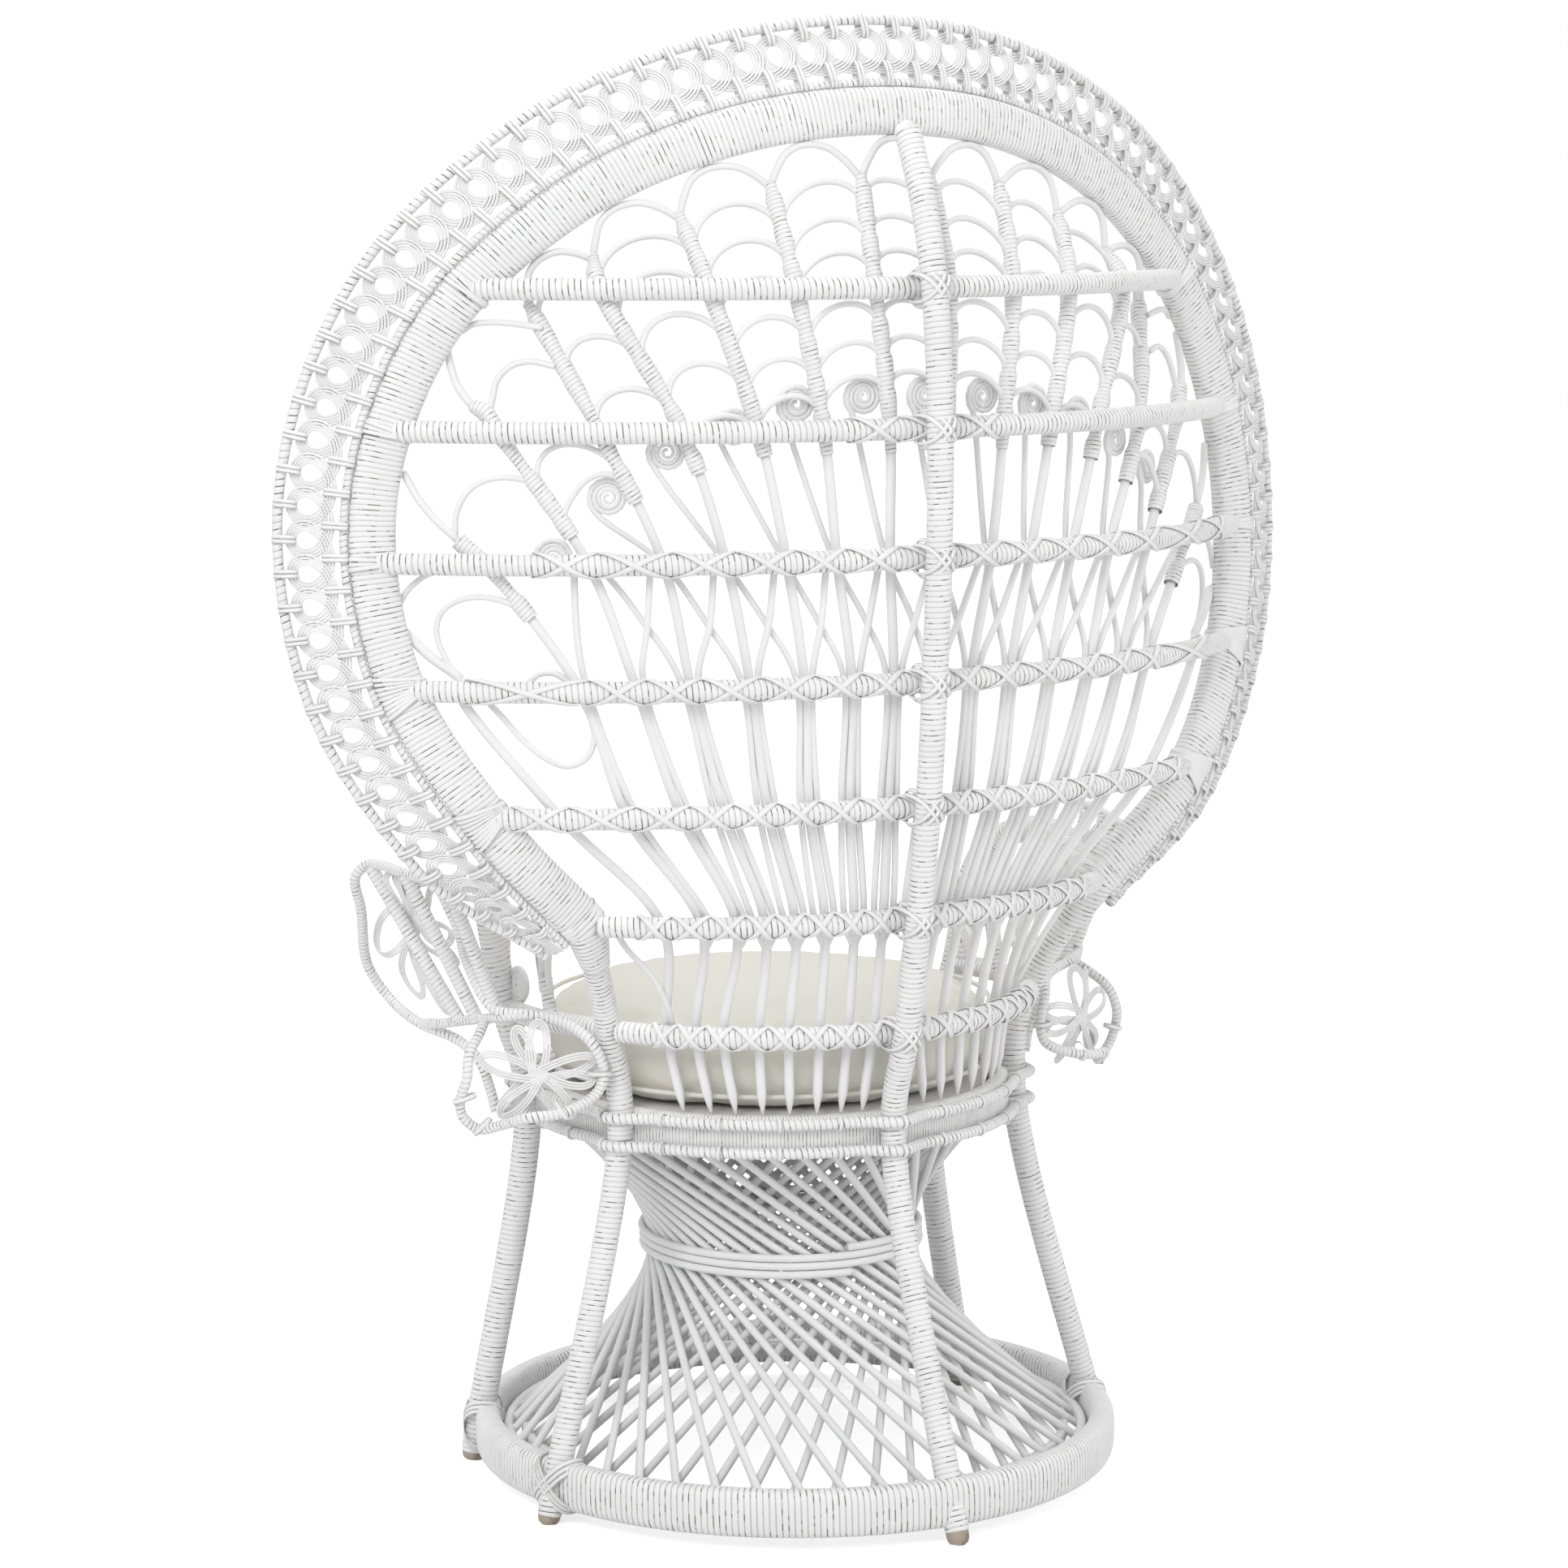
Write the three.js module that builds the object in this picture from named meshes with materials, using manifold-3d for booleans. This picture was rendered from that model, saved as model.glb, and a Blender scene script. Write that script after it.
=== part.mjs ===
// Peacock chair of white painted, wrapped rattan, with a loose round cushion.
// Millimetres, +Z up, the sitter faces -Y and the sitter's left is +X.
// The floor is z = 0, and the floor ring's centre is the working origin until the last line.
import * as THREE from 'three';
import { mergeVertices } from 'three/addons/utils/BufferGeometryUtils.js';
import Module from 'manifold-3d';

const wasm = await Module();
wasm.setup();

// Fits between pieces
const fitGap = 0.35;
const bindingGap = 0.9;

// Floor ring and the rods of the hourglass base
const baseRingRadius = 300;
const baseRingThickness = 25;
const baseRingHeight = 45;
const footProud = 14;
const rodCount = 56;
const rodThickness = 7.4;
const rodSocketWidth = 10.4;
const rodSocketHeight = 14;
const rodTopRadius = 211;
const outerTwistDegrees = 116;
const innerTwistDegrees = 118;
const familyTopGap = 18;
const familyBottomGap = 7;
const bindingReedRadius = 4.4;
const bindingTurns = 3;
const bindingPitch = 9.6;

// Seat
const seatForward = 49;
const seatTopHeight = 381;
const seatBandHeight = 38;
const seatBandThickness = 20;
const seatPostRadius = 239;
const seatFrameWidth = 30;
const seatDeckDrop = 2;
const seatDeckThickness = 8;
const borderCaneRadius = 5.5;
const cushionOverhang = 7;
const cushionForward = 7;
const cushionThickness = 84;
const cushionCrown = 9;
const cushionPipingRadius = 3.5;
const cushionWaist = 4;

// Posts
const postRadius = 12.2;
const frontPostRadius = 13.5;
const footCircleRadius = 318;
const sideFootDegrees = 76;
const frontFootDegrees = 118;
const sideSeatDegrees = 64.7;
const frontSeatDegrees = 110;
const armRailAbove = 32;

// Back hoop and its lace border
const hoopHalfWidth = 460;
const hoopTopHeight = 1305.5;
const hoopBottomHeight = 565;
const hoopBackReach = 180;
const hoopEndOverhang = 37;
const hoopBandWidth = 43;
const hoopBandThickness = 22;
const hoopTiltDegrees = 10;
const laceWidth = 50;
const laceThickness = 6;
const laceFlareDegrees = 44;
const lacePairCount = 34;
const laceInnerCaneRadius = 4;
const laceOuterCaneRadius = 5;

// Rails, ribs and arches of the back
const railRadius = 10.3;
const spineReach = 270;
const ribRadius = 4.6;
const sideReedRadius = 3.4;
const archReedRadius = 2.9;
const scrollRadius = 18;
const scrollTurns = 1.3;
const scrollPitch = 9;
const ribCrestDepth = 34;

// Arms
const armOverhang = 161;
const armAboveHoop = 40;
const armFootRise = 7;
const armFrontDepth = 112;
const armCaneRadius = 5.2;
const spindleRadius = 6.5;
const knotThickness = 6;
const screenReedRadius = 4;

// Colours, roughness and metalness from the photograph
const paint = { color: 0xebecee, roughness: 0.55, metalness: 0 };
const paintShade = { color: 0xdfe0e2, roughness: 0.6, metalness: 0 };
const fabric = { color: 0xe6e2d8, roughness: 0.9, metalness: 0 };

const chair = new THREE.Group();
const up = new THREE.Vector3(0, 0, 1);
const back = new THREE.Vector3(0, 1, 0);
const bothSides = [[1, 'left'], [-1, 'right']];

// Helpers

function addPart(name, geometry, look = paint) {
  const mesh = new THREE.Mesh(geometry, new THREE.MeshStandardMaterial(look));
  mesh.name = name;
  chair.add(mesh);
}

function point(x, y, z) {
  return new THREE.Vector3(x, y, z);
}

// Place on a circle about a vertical axis, turned from the back towards the sitter's left.
function around(centreY, radius, degrees, z) {
  const angle = THREE.MathUtils.degToRad(degrees);
  return point(radius * Math.sin(angle), centreY + radius * Math.cos(angle), z);
}

function onSide(points, side) {
  return points.map((place) => point(side * place.x, place.y, place.z));
}

function polygon(halfWidth, halfHeight, sides) {
  const corners = [];
  for (let i = 0; i < sides; i += 1) {
    const angle = (2 * Math.PI * (i + 0.5)) / sides;
    corners.push(new THREE.Vector2(halfWidth * Math.cos(angle), halfHeight * Math.sin(angle)));
  }
  return corners;
}

// Polygon whose flat faces lie at the half sizes, so that flats can rest on each other.
function flatPolygon(halfWidth, halfHeight, sides) {
  const grow = 1 / Math.cos(Math.PI / sides);
  return polygon(halfWidth * grow, halfHeight * grow, sides);
}

// Smooth route whose steps fall on its own points, so that tight bends get more of them.
class Route extends THREE.CatmullRomCurve3 {
  getPointAt(share, target) {
    return this.getPoint(share, target);
  }

  getTangentAt(share, target) {
    return this.getTangent(share, target);
  }

  getSpacedPoints(count) {
    return this.getPoints(count);
  }
}

function rod(points, radius, sides, stepsPerPoint = 1) {
  const extrudePath = new Route(points);
  const steps = (points.length - 1) * stepsPerPoint;
  return new THREE.ExtrudeGeometry(new THREE.Shape(polygon(radius, radius, sides)), { steps, extrudePath });
}

// Cutter whose flat faces stand a fit's gap off those of the rod that it makes room for.
function flatClear(points, radius, sides) {
  return rod(points, radius + fitGap / Math.cos(Math.PI / sides), sides);
}

function asSolid(geometry) {
  const bare = geometry.clone();
  bare.deleteAttribute('normal');
  bare.deleteAttribute('uv');
  const merged = mergeVertices(bare, 1e-3);
  return new wasm.Manifold(new wasm.Mesh({
    numProp: 3,
    vertProperties: merged.getAttribute('position').array,
    triVerts: new Uint32Array(merged.index.array),
  }));
}

function asGeometry(solid) {
  const mesh = solid.getMesh();
  const geometry = new THREE.BufferGeometry();
  geometry.setAttribute('position', new THREE.BufferAttribute(mesh.vertProperties, mesh.numProp));
  geometry.setIndex(new THREE.BufferAttribute(mesh.triVerts, 1));
  const flat = geometry.toNonIndexed();
  flat.computeVertexNormals();
  return flat;
}

function joined(...pieces) {
  return asGeometry(pieces.map(asSolid).reduce((sum, next) => sum.add(next)));
}

function trimmed(piece, ...cutters) {
  return asGeometry(cutters.map(asSolid).reduce((left, cutter) => left.subtract(cutter), asSolid(piece)));
}

// Closed loft through rings of equal point count.
function loft(rings) {
  const corners = [];
  const quad = (a, b, c, d) => corners.push(a, b, c, a, c, d);
  const last = rings[rings.length - 1];
  for (let i = 0; i < rings.length - 1; i += 1) {
    rings[i].forEach((corner, j) => {
      const k = (j + 1) % rings[i].length;
      quad(corner, rings[i][k], rings[i + 1][k], rings[i + 1][j]);
    });
  }
  for (let j = 1; j < last.length - 1; j += 1) {
    corners.push(rings[0][0], rings[0][j + 1], rings[0][j]);
    corners.push(last[0], last[j], last[j + 1]);
  }
  return new THREE.BufferGeometry().setFromPoints(corners);
}

// Body of revolution about a vertical axis; a ring's profile closes on itself.
function turned(profile, segments, centreY, isRing = true) {
  const outline = profile.map(([radius, height]) => new THREE.Vector2(radius, height));
  const closed = isRing ? [...outline, outline[0]] : outline;
  return new THREE.LatheGeometry(closed, segments).rotateX(Math.PI / 2).translate(0, centreY, 0);
}

// Profile of a wrapped ring: a rectangle with its outer corners cut by a share of its thickness.
const cornerShare = 0.28;
function bandProfile(outerRadius, thickness, bottom, height) {
  const cut = thickness * cornerShare;
  const innerRadius = outerRadius - thickness;
  const top = bottom + height;
  return [
    [innerRadius, bottom], [outerRadius - cut, bottom], [outerRadius, bottom + cut],
    [outerRadius, top - cut], [outerRadius - cut, top], [innerRadius, top],
  ];
}

// Corners of an openwork cell: its frame, and its four-sided hole as shares of the cell.
const frameCorners = [[0, 0], [1, 0], [1, 1], [0, 1]];
const holeShares = [[0.5, 0.12], [0.2, 0.5], [0.5, 0.88], [0.8, 0.5]];
const cellWeb = [
  ['f0', 'f1', 'h0'], ['f0', 'h0', 'h1'], ['f1', 'h3', 'h0'], ['f0', 'h1', 'f3'],
  ['f3', 'h1', 'h2'], ['f3', 'h2', 'f2'], ['f2', 'h2', 'h3'], ['f2', 'h3', 'f1'],
];

// Thin sheet on a surface of two shares, with one hole in each cell of a grid.
function openwork(surface, cellsAlong, cellsAcross, thickness) {
  const nudge = 1e-3;
  const corners = [];
  const quad = (a, b, c, d) => corners.push(a, b, c, a, c, d);
  const at = (s, t, lift) => {
    const along = surface(Math.min(s + nudge, 1), t).sub(surface(Math.max(s - nudge, 0), t));
    const across = surface(s, Math.min(t + nudge, 1)).sub(surface(s, Math.max(t - nudge, 0)));
    return surface(s, t).addScaledVector(along.cross(across).normalize(), (lift * thickness) / 2);
  };
  for (let i = 0; i < cellsAlong; i += 1) {
    for (let j = 0; j < cellsAcross; j += 1) {
      const skin = (lift) => {
        const place = ([u, v]) => at((i + u) / cellsAlong, (j + v) / cellsAcross, lift);
        const cell = {};
        frameCorners.forEach((corner, k) => { cell[`f${k}`] = place(corner); });
        holeShares.forEach((corner, k) => { cell[`h${k}`] = place(corner); });
        return cell;
      };
      const top = skin(1);
      const bottom = skin(-1);
      for (const [a, b, c] of cellWeb) {
        corners.push(top[a], top[b], top[c], bottom[a], bottom[c], bottom[b]);
      }
      const wall = (a, b) => quad(top[b], top[a], bottom[a], bottom[b]);
      holeShares.forEach((corner, k) => wall(`h${k}`, `h${(k + 1) % holeShares.length}`));
      if (j === 0) wall('f0', 'f1');
      if (j === cellsAcross - 1) wall('f2', 'f3');
      if (i === 0) wall('f3', 'f0');
      if (i === cellsAlong - 1) wall('f1', 'f2');
    }
  }
  return new THREE.BufferGeometry().setFromPoints(corners);
}

// Places worked out from the sizes

const seatCentreY = -seatForward;
const seatBandBottom = seatTopHeight - seatBandHeight;
const seatMiddleHeight = seatTopHeight - seatBandHeight / 2;
const seatBandOuterRadius = seatPostRadius - postRadius / 2;
const seatBandInnerRadius = seatBandOuterRadius - seatBandThickness;
const cushionRadius = seatBandInnerRadius + cushionOverhang;
const seatDeckBottom = seatTopHeight - seatDeckDrop - seatDeckThickness;
const baseRingOuterRadius = baseRingRadius + baseRingThickness / 2;
const baseRingInnerRadius = baseRingRadius - baseRingThickness / 2;
const baseRingTop = footProud + baseRingHeight;
const rodBottom = baseRingTop - rodSocketHeight;
const rodTop = seatBandBottom - fitGap;
const backRise = hoopTopHeight - seatTopHeight;
const armRailRise = hoopBottomHeight + armRailAbove - seatMiddleHeight;
const armHeight = hoopBottomHeight + armAboveHoop;
const armDrop = armHeight - seatBandBottom - armFootRise;
const hoopRise = hoopTopHeight - hoopBottomHeight;
const ringSegments = 30;

// Back hoop and lace border

const hoopEndShare = (seatPostRadius + hoopEndOverhang) / hoopHalfWidth;

// One half of the hoop as shares of its sizes: across, back, up, lace flare and lace width
const hoopShares = [
  [0, 1, 1, 0.57, 1],
  [0.322, 0.878, 0.975, 0.61, 1],
  [0.628, 0.628, 0.891, 0.7, 1],
  [0.876, 0.378, 0.739, 0.82, 1],
  [0.998, 0.3, 0.535, 0.93, 1],
  [0.97, 0.411, 0.319, 0.98, 1],
  [0.807, 0.622, 0.136, 1.13, 1],
  [hoopEndShare, 0.589, 0.004, 1.4, 0.3],
];

function hoopSide(side) {
  return hoopShares.map(([across, reach, rise, flare, width]) => ({
    place: point(side * across * hoopHalfWidth, reach * hoopBackReach, hoopBottomHeight + rise * hoopRise),
    leaf: point(flare * laceFlareDegrees, width * laceWidth, 0),
  }));
}
const hoopMarks = [...hoopSide(-1).reverse(), ...hoopSide(1).slice(1)];
const hoopRoute = new THREE.CatmullRomCurve3(hoopMarks.map((mark) => mark.place));
const laceLeaves = new THREE.CatmullRomCurve3(hoopMarks.map((mark) => mark.leaf));
const hoopEnd = hoopRoute.getPoint(1);

function leaning(outward, degrees) {
  const angle = THREE.MathUtils.degToRad(degrees);
  return outward.clone().multiplyScalar(Math.cos(angle)).addScaledVector(back, -Math.sin(angle));
}

// Cross frame at a share along the hoop: wide runs across its band and lean across its lace.
function hoopFrame(share) {
  const along = hoopRoute.getTangent(share);
  const outward = new THREE.Vector3().crossVectors(along, back).normalize();
  const leaf = laceLeaves.getPoint(share);
  const wide = leaning(outward, hoopTiltDegrees);
  return {
    place: hoopRoute.getPoint(share),
    wide,
    thick: new THREE.Vector3().crossVectors(along, wide).normalize(),
    lean: leaning(outward, leaf.x).multiplyScalar(leaf.y),
    rim: new THREE.Vector3().crossVectors(along, leaning(outward, leaf.x)).normalize(),
  };
}

const hoopSteps = lacePairCount;
const hoopFrames = [];
for (let i = 0; i <= hoopSteps; i += 1) hoopFrames.push(hoopFrame(i / hoopSteps));

// Loft of an outline whose centre lies wide mm out from the hoop's own.
function alongHoop(outline, wide) {
  return loft(hoopFrames.map((frame) => outline.map((corner) => frame.place.clone()
    .addScaledVector(frame.wide, wide + corner.x).addScaledVector(frame.thick, corner.y))));
}

// Loft of an outline whose centre lies beyond mm out from the lace's outer edge.
function alongLace(outline, beyond) {
  return loft(hoopFrames.map((frame, i) => {
    const edge = laceAt(i / hoopSteps, 1);
    const out = frame.lean.clone().normalize();
    return outline.map((corner) => edge.clone()
      .addScaledVector(out, beyond + corner.x).addScaledVector(frame.rim, corner.y));
  }));
}

const hoopEdge = hoopBandWidth / 2;
const innerCaneWide = hoopEdge + laceInnerCaneRadius + fitGap;
const laceLean = Math.max(...hoopShares.map((row) => row[3])) * laceFlareDegrees - hoopTiltDegrees;
const laceRoom = (laceThickness / 2) * Math.sin(THREE.MathUtils.degToRad(laceLean));
const laceStart = innerCaneWide + laceInnerCaneRadius + fitGap + laceRoom;
const hoopClear = alongHoop(flatPolygon(hoopEdge + fitGap, hoopBandThickness / 2 + fitGap, 6), 0);

// Point of the lace's middle surface at shares along and across it.
function laceAt(share, across) {
  const step = share * hoopSteps;
  const index = Math.min(Math.floor(step), hoopSteps - 1);
  const mix = (key) => hoopFrames[index][key].clone().lerp(hoopFrames[index + 1][key], step - index);
  return mix('place').addScaledVector(mix('wide'), laceStart).addScaledVector(mix('lean'), across);
}

// Point on the hoop's rim side that faces the ribs, a distance inside its inner edge.
function insideHoop(share, distance) {
  const step = Math.abs(share) / 2 * hoopSteps + hoopSteps / 2;
  const index = Math.min(Math.floor(step), hoopSteps - 1);
  const mix = (key) => hoopFrames[index][key].clone().lerp(hoopFrames[index + 1][key], step - index);
  const place = mix('place').addScaledVector(mix('wide'), -hoopEdge - distance);
  return share < 0 ? point(-place.x, place.y, place.z) : place;
}

function makeHoop() {
  addPart('back_hoop', alongHoop(flatPolygon(hoopEdge, hoopBandThickness / 2, 6), 0));
  addPart('lace_inner_cane', alongHoop(flatPolygon(laceInnerCaneRadius, laceInnerCaneRadius, 4), innerCaneWide));
  const rim = flatPolygon(laceOuterCaneRadius, laceOuterCaneRadius, 4);
  addPart('lace_outer_cane', alongLace(rim, laceOuterCaneRadius + fitGap));
  addPart('lace_border', openwork(laceAt, 2 * lacePairCount, 1, laceThickness));
}

// Posts

const footAt = (degrees) => around(0, footCircleRadius, degrees, -postRadius);
const seatAt = (degrees) => around(seatCentreY, seatPostRadius, degrees, seatMiddleHeight);

// Centre post above the seat: back reach and rise as shares
const spineShares = [
  [0.796, 0.089], [0.87, 0.201], [0.933, 0.322], [0.972, 0.448], [0.996, 0.568],
  [1, 0.694], [0.96, 0.826], [0.885, 0.91], [0.77, 0.985],
];
const spinePoints = [
  footAt(0),
  seatAt(0),
  ...spineShares.map(([reach, rise]) => point(0, reach * spineReach, seatTopHeight + rise * backRise)),
];

// Bow of a side post between its seat place and the hoop's end, as shares of the way
const sideBowShares = [0.2, 0.04, 0.44];
function sidePostPoints(side) {
  const seat = seatAt(sideSeatDegrees);
  const reach = hoopEnd.clone().sub(seat);
  const [across, deep, rise] = sideBowShares;
  const bow = point(seat.x + across * reach.x, seat.y + deep * reach.y, seat.z + rise * reach.z);
  return onSide([footAt(sideFootDegrees), seat, bow, hoopEnd], side);
}

// Front post: across and back from the seat's centre as shares of its post circle, up as a share of its rise
const frontPostShares = [
  [1.046, -0.305, 0.349], [1.15, -0.264, 0.838], [1.222, -0.109, 0.97], [1.255, 0.205, 1], [1.192, 0.456, 0.928],
];
function frontPostPoints(side) {
  const bends = frontPostShares.map(([across, reach, rise]) => point(
    across * seatPostRadius,
    seatCentreY + reach * seatPostRadius,
    seatMiddleHeight + rise * armRailRise,
  ));
  return onSide([footAt(frontFootDegrees), seatAt(frontSeatDegrees), ...bends, hoopEnd], side);
}

const postSides = 8;
const postClears = [];
const clearOf = {};
const floorSize = 4 * footCircleRadius;
const underFloor = new THREE.BoxGeometry(floorSize, floorSize, floorSize).translate(0, 0, -floorSize / 2);
function makePost(name, points, radius, stepsPerPoint, ...cutters) {
  const post = rod(points, radius, postSides, stepsPerPoint);
  addPart(name, trimmed(post, underFloor, ...cutters));
  clearOf[name] = rod(points, radius + fitGap, postSides, stepsPerPoint);
  postClears.push(clearOf[name]);
}

function makePosts() {
  makePost('post_back_centre', spinePoints, postRadius, 1, hoopClear);
  for (const [side, word] of bothSides) {
    makePost(`post_side_${word}`, sidePostPoints(side), postRadius, 2, hoopClear);
    makePost(`post_front_${word}`, frontPostPoints(side), frontPostRadius, 1, hoopClear, clearOf[`post_side_${word}`]);
  }
}

// Base

function makeBase() {
  const profile = bandProfile(baseRingOuterRadius, baseRingThickness, footProud, baseRingHeight);
  addPart('base_ring', trimmed(turned(profile, ringSegments, 0), ...postClears));
  const outerBottom = baseRingInnerRadius * Math.cos(Math.PI / ringSegments) - fitGap - rodSocketWidth / 2;
  const innerBottom = outerBottom - rodSocketWidth - familyBottomGap;
  addPart('base_rods_outer', rodFamily(outerBottom, rodTopRadius, outerTwistDegrees, 0));
  addPart('base_rods_inner', rodFamily(innerBottom, rodTopRadius - familyTopGap, -innerTwistDegrees, 0.5), paintShade);
  addPart('waist_binding', waistBinding(outerBottom));
}

// One family of straight rods that spring from the top of their own bottom hoop.
// A rod is a prism: its ends are level parallelograms with two sides along its own plan direction.
function rodFamily(bottomRadius, topRadius, twistDegrees, startShare) {
  const corners = [];
  const quad = (a, b, c, d) => corners.push(a, b, c, a, c, d);
  const rods = [];
  for (let i = 0; i < rodCount; i += 1) {
    const footDegrees = ((i + startShare) * 360) / rodCount;
    const headDegrees = footDegrees + twistDegrees;
    const foot = around(0, bottomRadius, footDegrees, rodBottom);
    const head = around(seatCentreY, topRadius, headDegrees, rodTop);
    const plan = around(0, topRadius, headDegrees, 0).sub(around(0, bottomRadius, footDegrees, 0)).normalize();
    const footRadial = plan.dot(around(0, 1, footDegrees, 0));
    const slant = plan.clone().multiplyScalar(rodSocketWidth / 2 / footRadial);
    const side = around(0, rodThickness / 2 / footRadial, footDegrees + 90, 0);
    const end = (centre) => [[-1, 1], [1, 1], [1, -1], [-1, -1]].map(([s, t]) => centre.clone()
      .addScaledVector(slant, s).addScaledVector(side, t));
    rods.push({ foot: end(foot), head: end(head) });
  }
  const low = (corner) => point(corner.x, corner.y, corner.z - rodSocketHeight);
  // Corners a and d lie on the hoop's inner rim, and b and c on its outer rim.
  rods.forEach((one, i) => {
    const [a, b, c, d] = one.foot;
    const [e, f, g, h] = one.head;
    const [nextA, nextB] = rods[(i + 1) % rodCount].foot;
    quad(a, d, h, e);
    quad(d, c, g, h);
    quad(c, b, f, g);
    quad(b, a, e, f);
    quad(e, h, g, f);
    quad(d, nextA, nextB, c);
    quad(nextA, d, low(d), low(nextA));
    quad(c, nextB, low(nextB), low(c));
    quad(d, a, low(a), low(d));
    quad(b, c, low(c), low(b));
    quad(low(d), low(c), low(nextB), low(nextA));
    quad(low(a), low(b), low(c), low(d));
  });
  return new THREE.BufferGeometry().setFromPoints(corners);
}

// Coil of one reed round the waist of the outer rods, in a slanted stack of turns.
const coilSteps = 18;
const coilSides = 6;
function waistBinding(bottomRadius) {
  const twist = THREE.MathUtils.degToRad(outerTwistDegrees);
  const rise = rodTop - rodBottom;
  const reach = (share) => Math.hypot(
    (1 - share) * bottomRadius + share * rodTopRadius * Math.cos(twist),
    share * rodTopRadius * Math.sin(twist),
  );
  const cross = bottomRadius * rodTopRadius * Math.cos(twist);
  const waistShare = (bottomRadius ** 2 - cross) / (bottomRadius ** 2 + rodTopRadius ** 2 - 2 * cross);
  const centres = [];
  const rings = [];
  for (let i = 0; i <= coilSteps * bindingTurns; i += 1) {
    const turn = i / coilSteps;
    const z = rodBottom + waistShare * rise + (turn - bindingTurns / 2) * bindingPitch;
    const share = (z - rodBottom) / rise;
    const clear = rodThickness / 2 + bindingGap + fitGap + bindingReedRadius;
    const radius = (reach(share) + clear) / Math.cos(Math.PI / coilSteps);
    const centre = around(share * seatCentreY, radius, turn * 360, z);
    const radial = around(0, 1, turn * 360, 0);
    centres.push(centre);
    rings.push(polygon(bindingReedRadius, bindingReedRadius, coilSides).map((corner) => centre.clone()
      .addScaledVector(radial, corner.x).addScaledVector(up, corner.y)));
  }
  let leastGap = Infinity;
  centres.forEach((centre, i) => {
    for (let j = i + coilSteps / 2; j < centres.length; j += 1) {
      leastGap = Math.min(leastGap, centre.distanceTo(centres[j]) - 2 * bindingReedRadius);
    }
  });
  console.log(`waist binding: least gap of the coil to itself ${leastGap.toFixed(2)} mm`);
  return loft(rings);
}

// Seat

// Cane that hugs the seat band and swings out round each post; its ends butt at the front.
const caneSides = 4;
const swingShare = 2.6;
const frontMarkDegrees = [140, 160];
function borderCane(z) {
  const hug = seatBandOuterRadius + borderCaneRadius + bindingGap;
  const posts = [
    [-frontSeatDegrees, frontPostRadius], [-sideSeatDegrees, postRadius], [0, postRadius],
    [sideSeatDegrees, postRadius], [frontSeatDegrees, frontPostRadius],
  ];
  const swing = (radius) => THREE.MathUtils.radToDeg((radius + borderCaneRadius) / seatPostRadius);
  const marks = posts.flatMap(([degrees, radius]) => {
    const bump = seatPostRadius + radius + borderCaneRadius + fitGap;
    const near = swing(radius);
    const far = swingShare * near;
    return [[degrees - far, hug], [degrees - near, bump], [degrees + near, bump], [degrees + far, hug]];
  });
  const butt = THREE.MathUtils.radToDeg(fitGap / hug);
  const front = [...frontMarkDegrees, 180 - butt].map((degrees) => [degrees, hug]);
  const rightFront = front.map(([degrees, reach]) => [-degrees, reach]).reverse();
  const all = [...rightFront, ...marks, ...front];
  const filled = all.flatMap(([degrees, radius], i) => {
    const next = all[i + 1];
    const gap = next ? next[0] - degrees : 0;
    const more = radius === hug && next && next[1] === hug ? Math.floor(gap / (360 / ringSegments)) : 0;
    const extra = [];
    for (let k = 1; k <= more; k += 1) extra.push([degrees + (gap * k) / (more + 1), hug]);
    return [[degrees, radius], ...extra];
  });
  return rod(filled.map(([degrees, radius]) => around(seatCentreY, radius, degrees, z)), borderCaneRadius, caneSides);
}

function makeSeat() {
  const bandProfilePoints = bandProfile(seatBandOuterRadius, seatBandThickness, seatBandBottom, seatBandHeight);
  addPart('seat_band', trimmed(turned(bandProfilePoints, ringSegments, seatCentreY), ...postClears));
  addPart('seat_upper_cane', trimmed(borderCane(seatTopHeight - borderCaneRadius), ...postClears));
  addPart('seat_lower_cane', trimmed(borderCane(seatBandBottom + borderCaneRadius), ...postClears));
  const frameOuter = seatBandInnerRadius - fitGap;
  const frameInner = frameOuter - seatFrameWidth;
  const frameTop = seatDeckBottom - fitGap;
  addPart('seat_frame_ring', turned([
    [frameInner, seatBandBottom], [frameOuter, seatBandBottom], [frameOuter, frameTop], [frameInner, frameTop],
  ], ringSegments, seatCentreY), paintShade);
  const deckTop = seatDeckBottom + seatDeckThickness;
  addPart('seat_deck', turned([
    [0, seatDeckBottom], [frameOuter, seatDeckBottom], [frameOuter, deckTop], [0, deckTop],
  ], ringSegments, seatCentreY, false), paintShade);
  addPart('seat_cushion', cushion(seatTopHeight + fitGap), fabric);
}

// Round cushion: two piped seams, a side drawn in between them, and a crowned top.
const cushionSegments = 24;
const crownShares = [[0.92, 0.25], [0.72, 0.65], [0.4, 0.92]];
function cushion(bottom) {
  const seam = cushionRadius - cushionPipingRadius;
  const shoulder = bottom + cushionThickness - cushionCrown;
  const side = shoulder - bottom - 4 * cushionPipingRadius;
  const sideBottom = bottom + 2 * cushionPipingRadius;
  return turned([
    [0, bottom],
    [seam, bottom],
    [cushionRadius, bottom + cushionPipingRadius],
    [seam, sideBottom],
    [seam - cushionWaist, sideBottom + side / 2],
    [seam, sideBottom + side],
    [cushionRadius, shoulder - cushionPipingRadius],
    [seam, shoulder],
    ...crownShares.map(([reach, rise]) => [reach * seam, shoulder + rise * cushionCrown]),
    [0, shoulder + cushionCrown],
  ], cushionSegments, seatCentreY - cushionForward, false);
}

// Rails of the back

// Heights of the rails from the top one down, as shares of the hoop's rise; the lowest lies between seat and hoop
const railShares = [0.7873, 0.6171, 0.4592, 0.3052, 0.1485, 0.0041];
const lowRailShare = 0.4185;
const railStart = postRadius + railRadius + fitGap;

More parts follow.
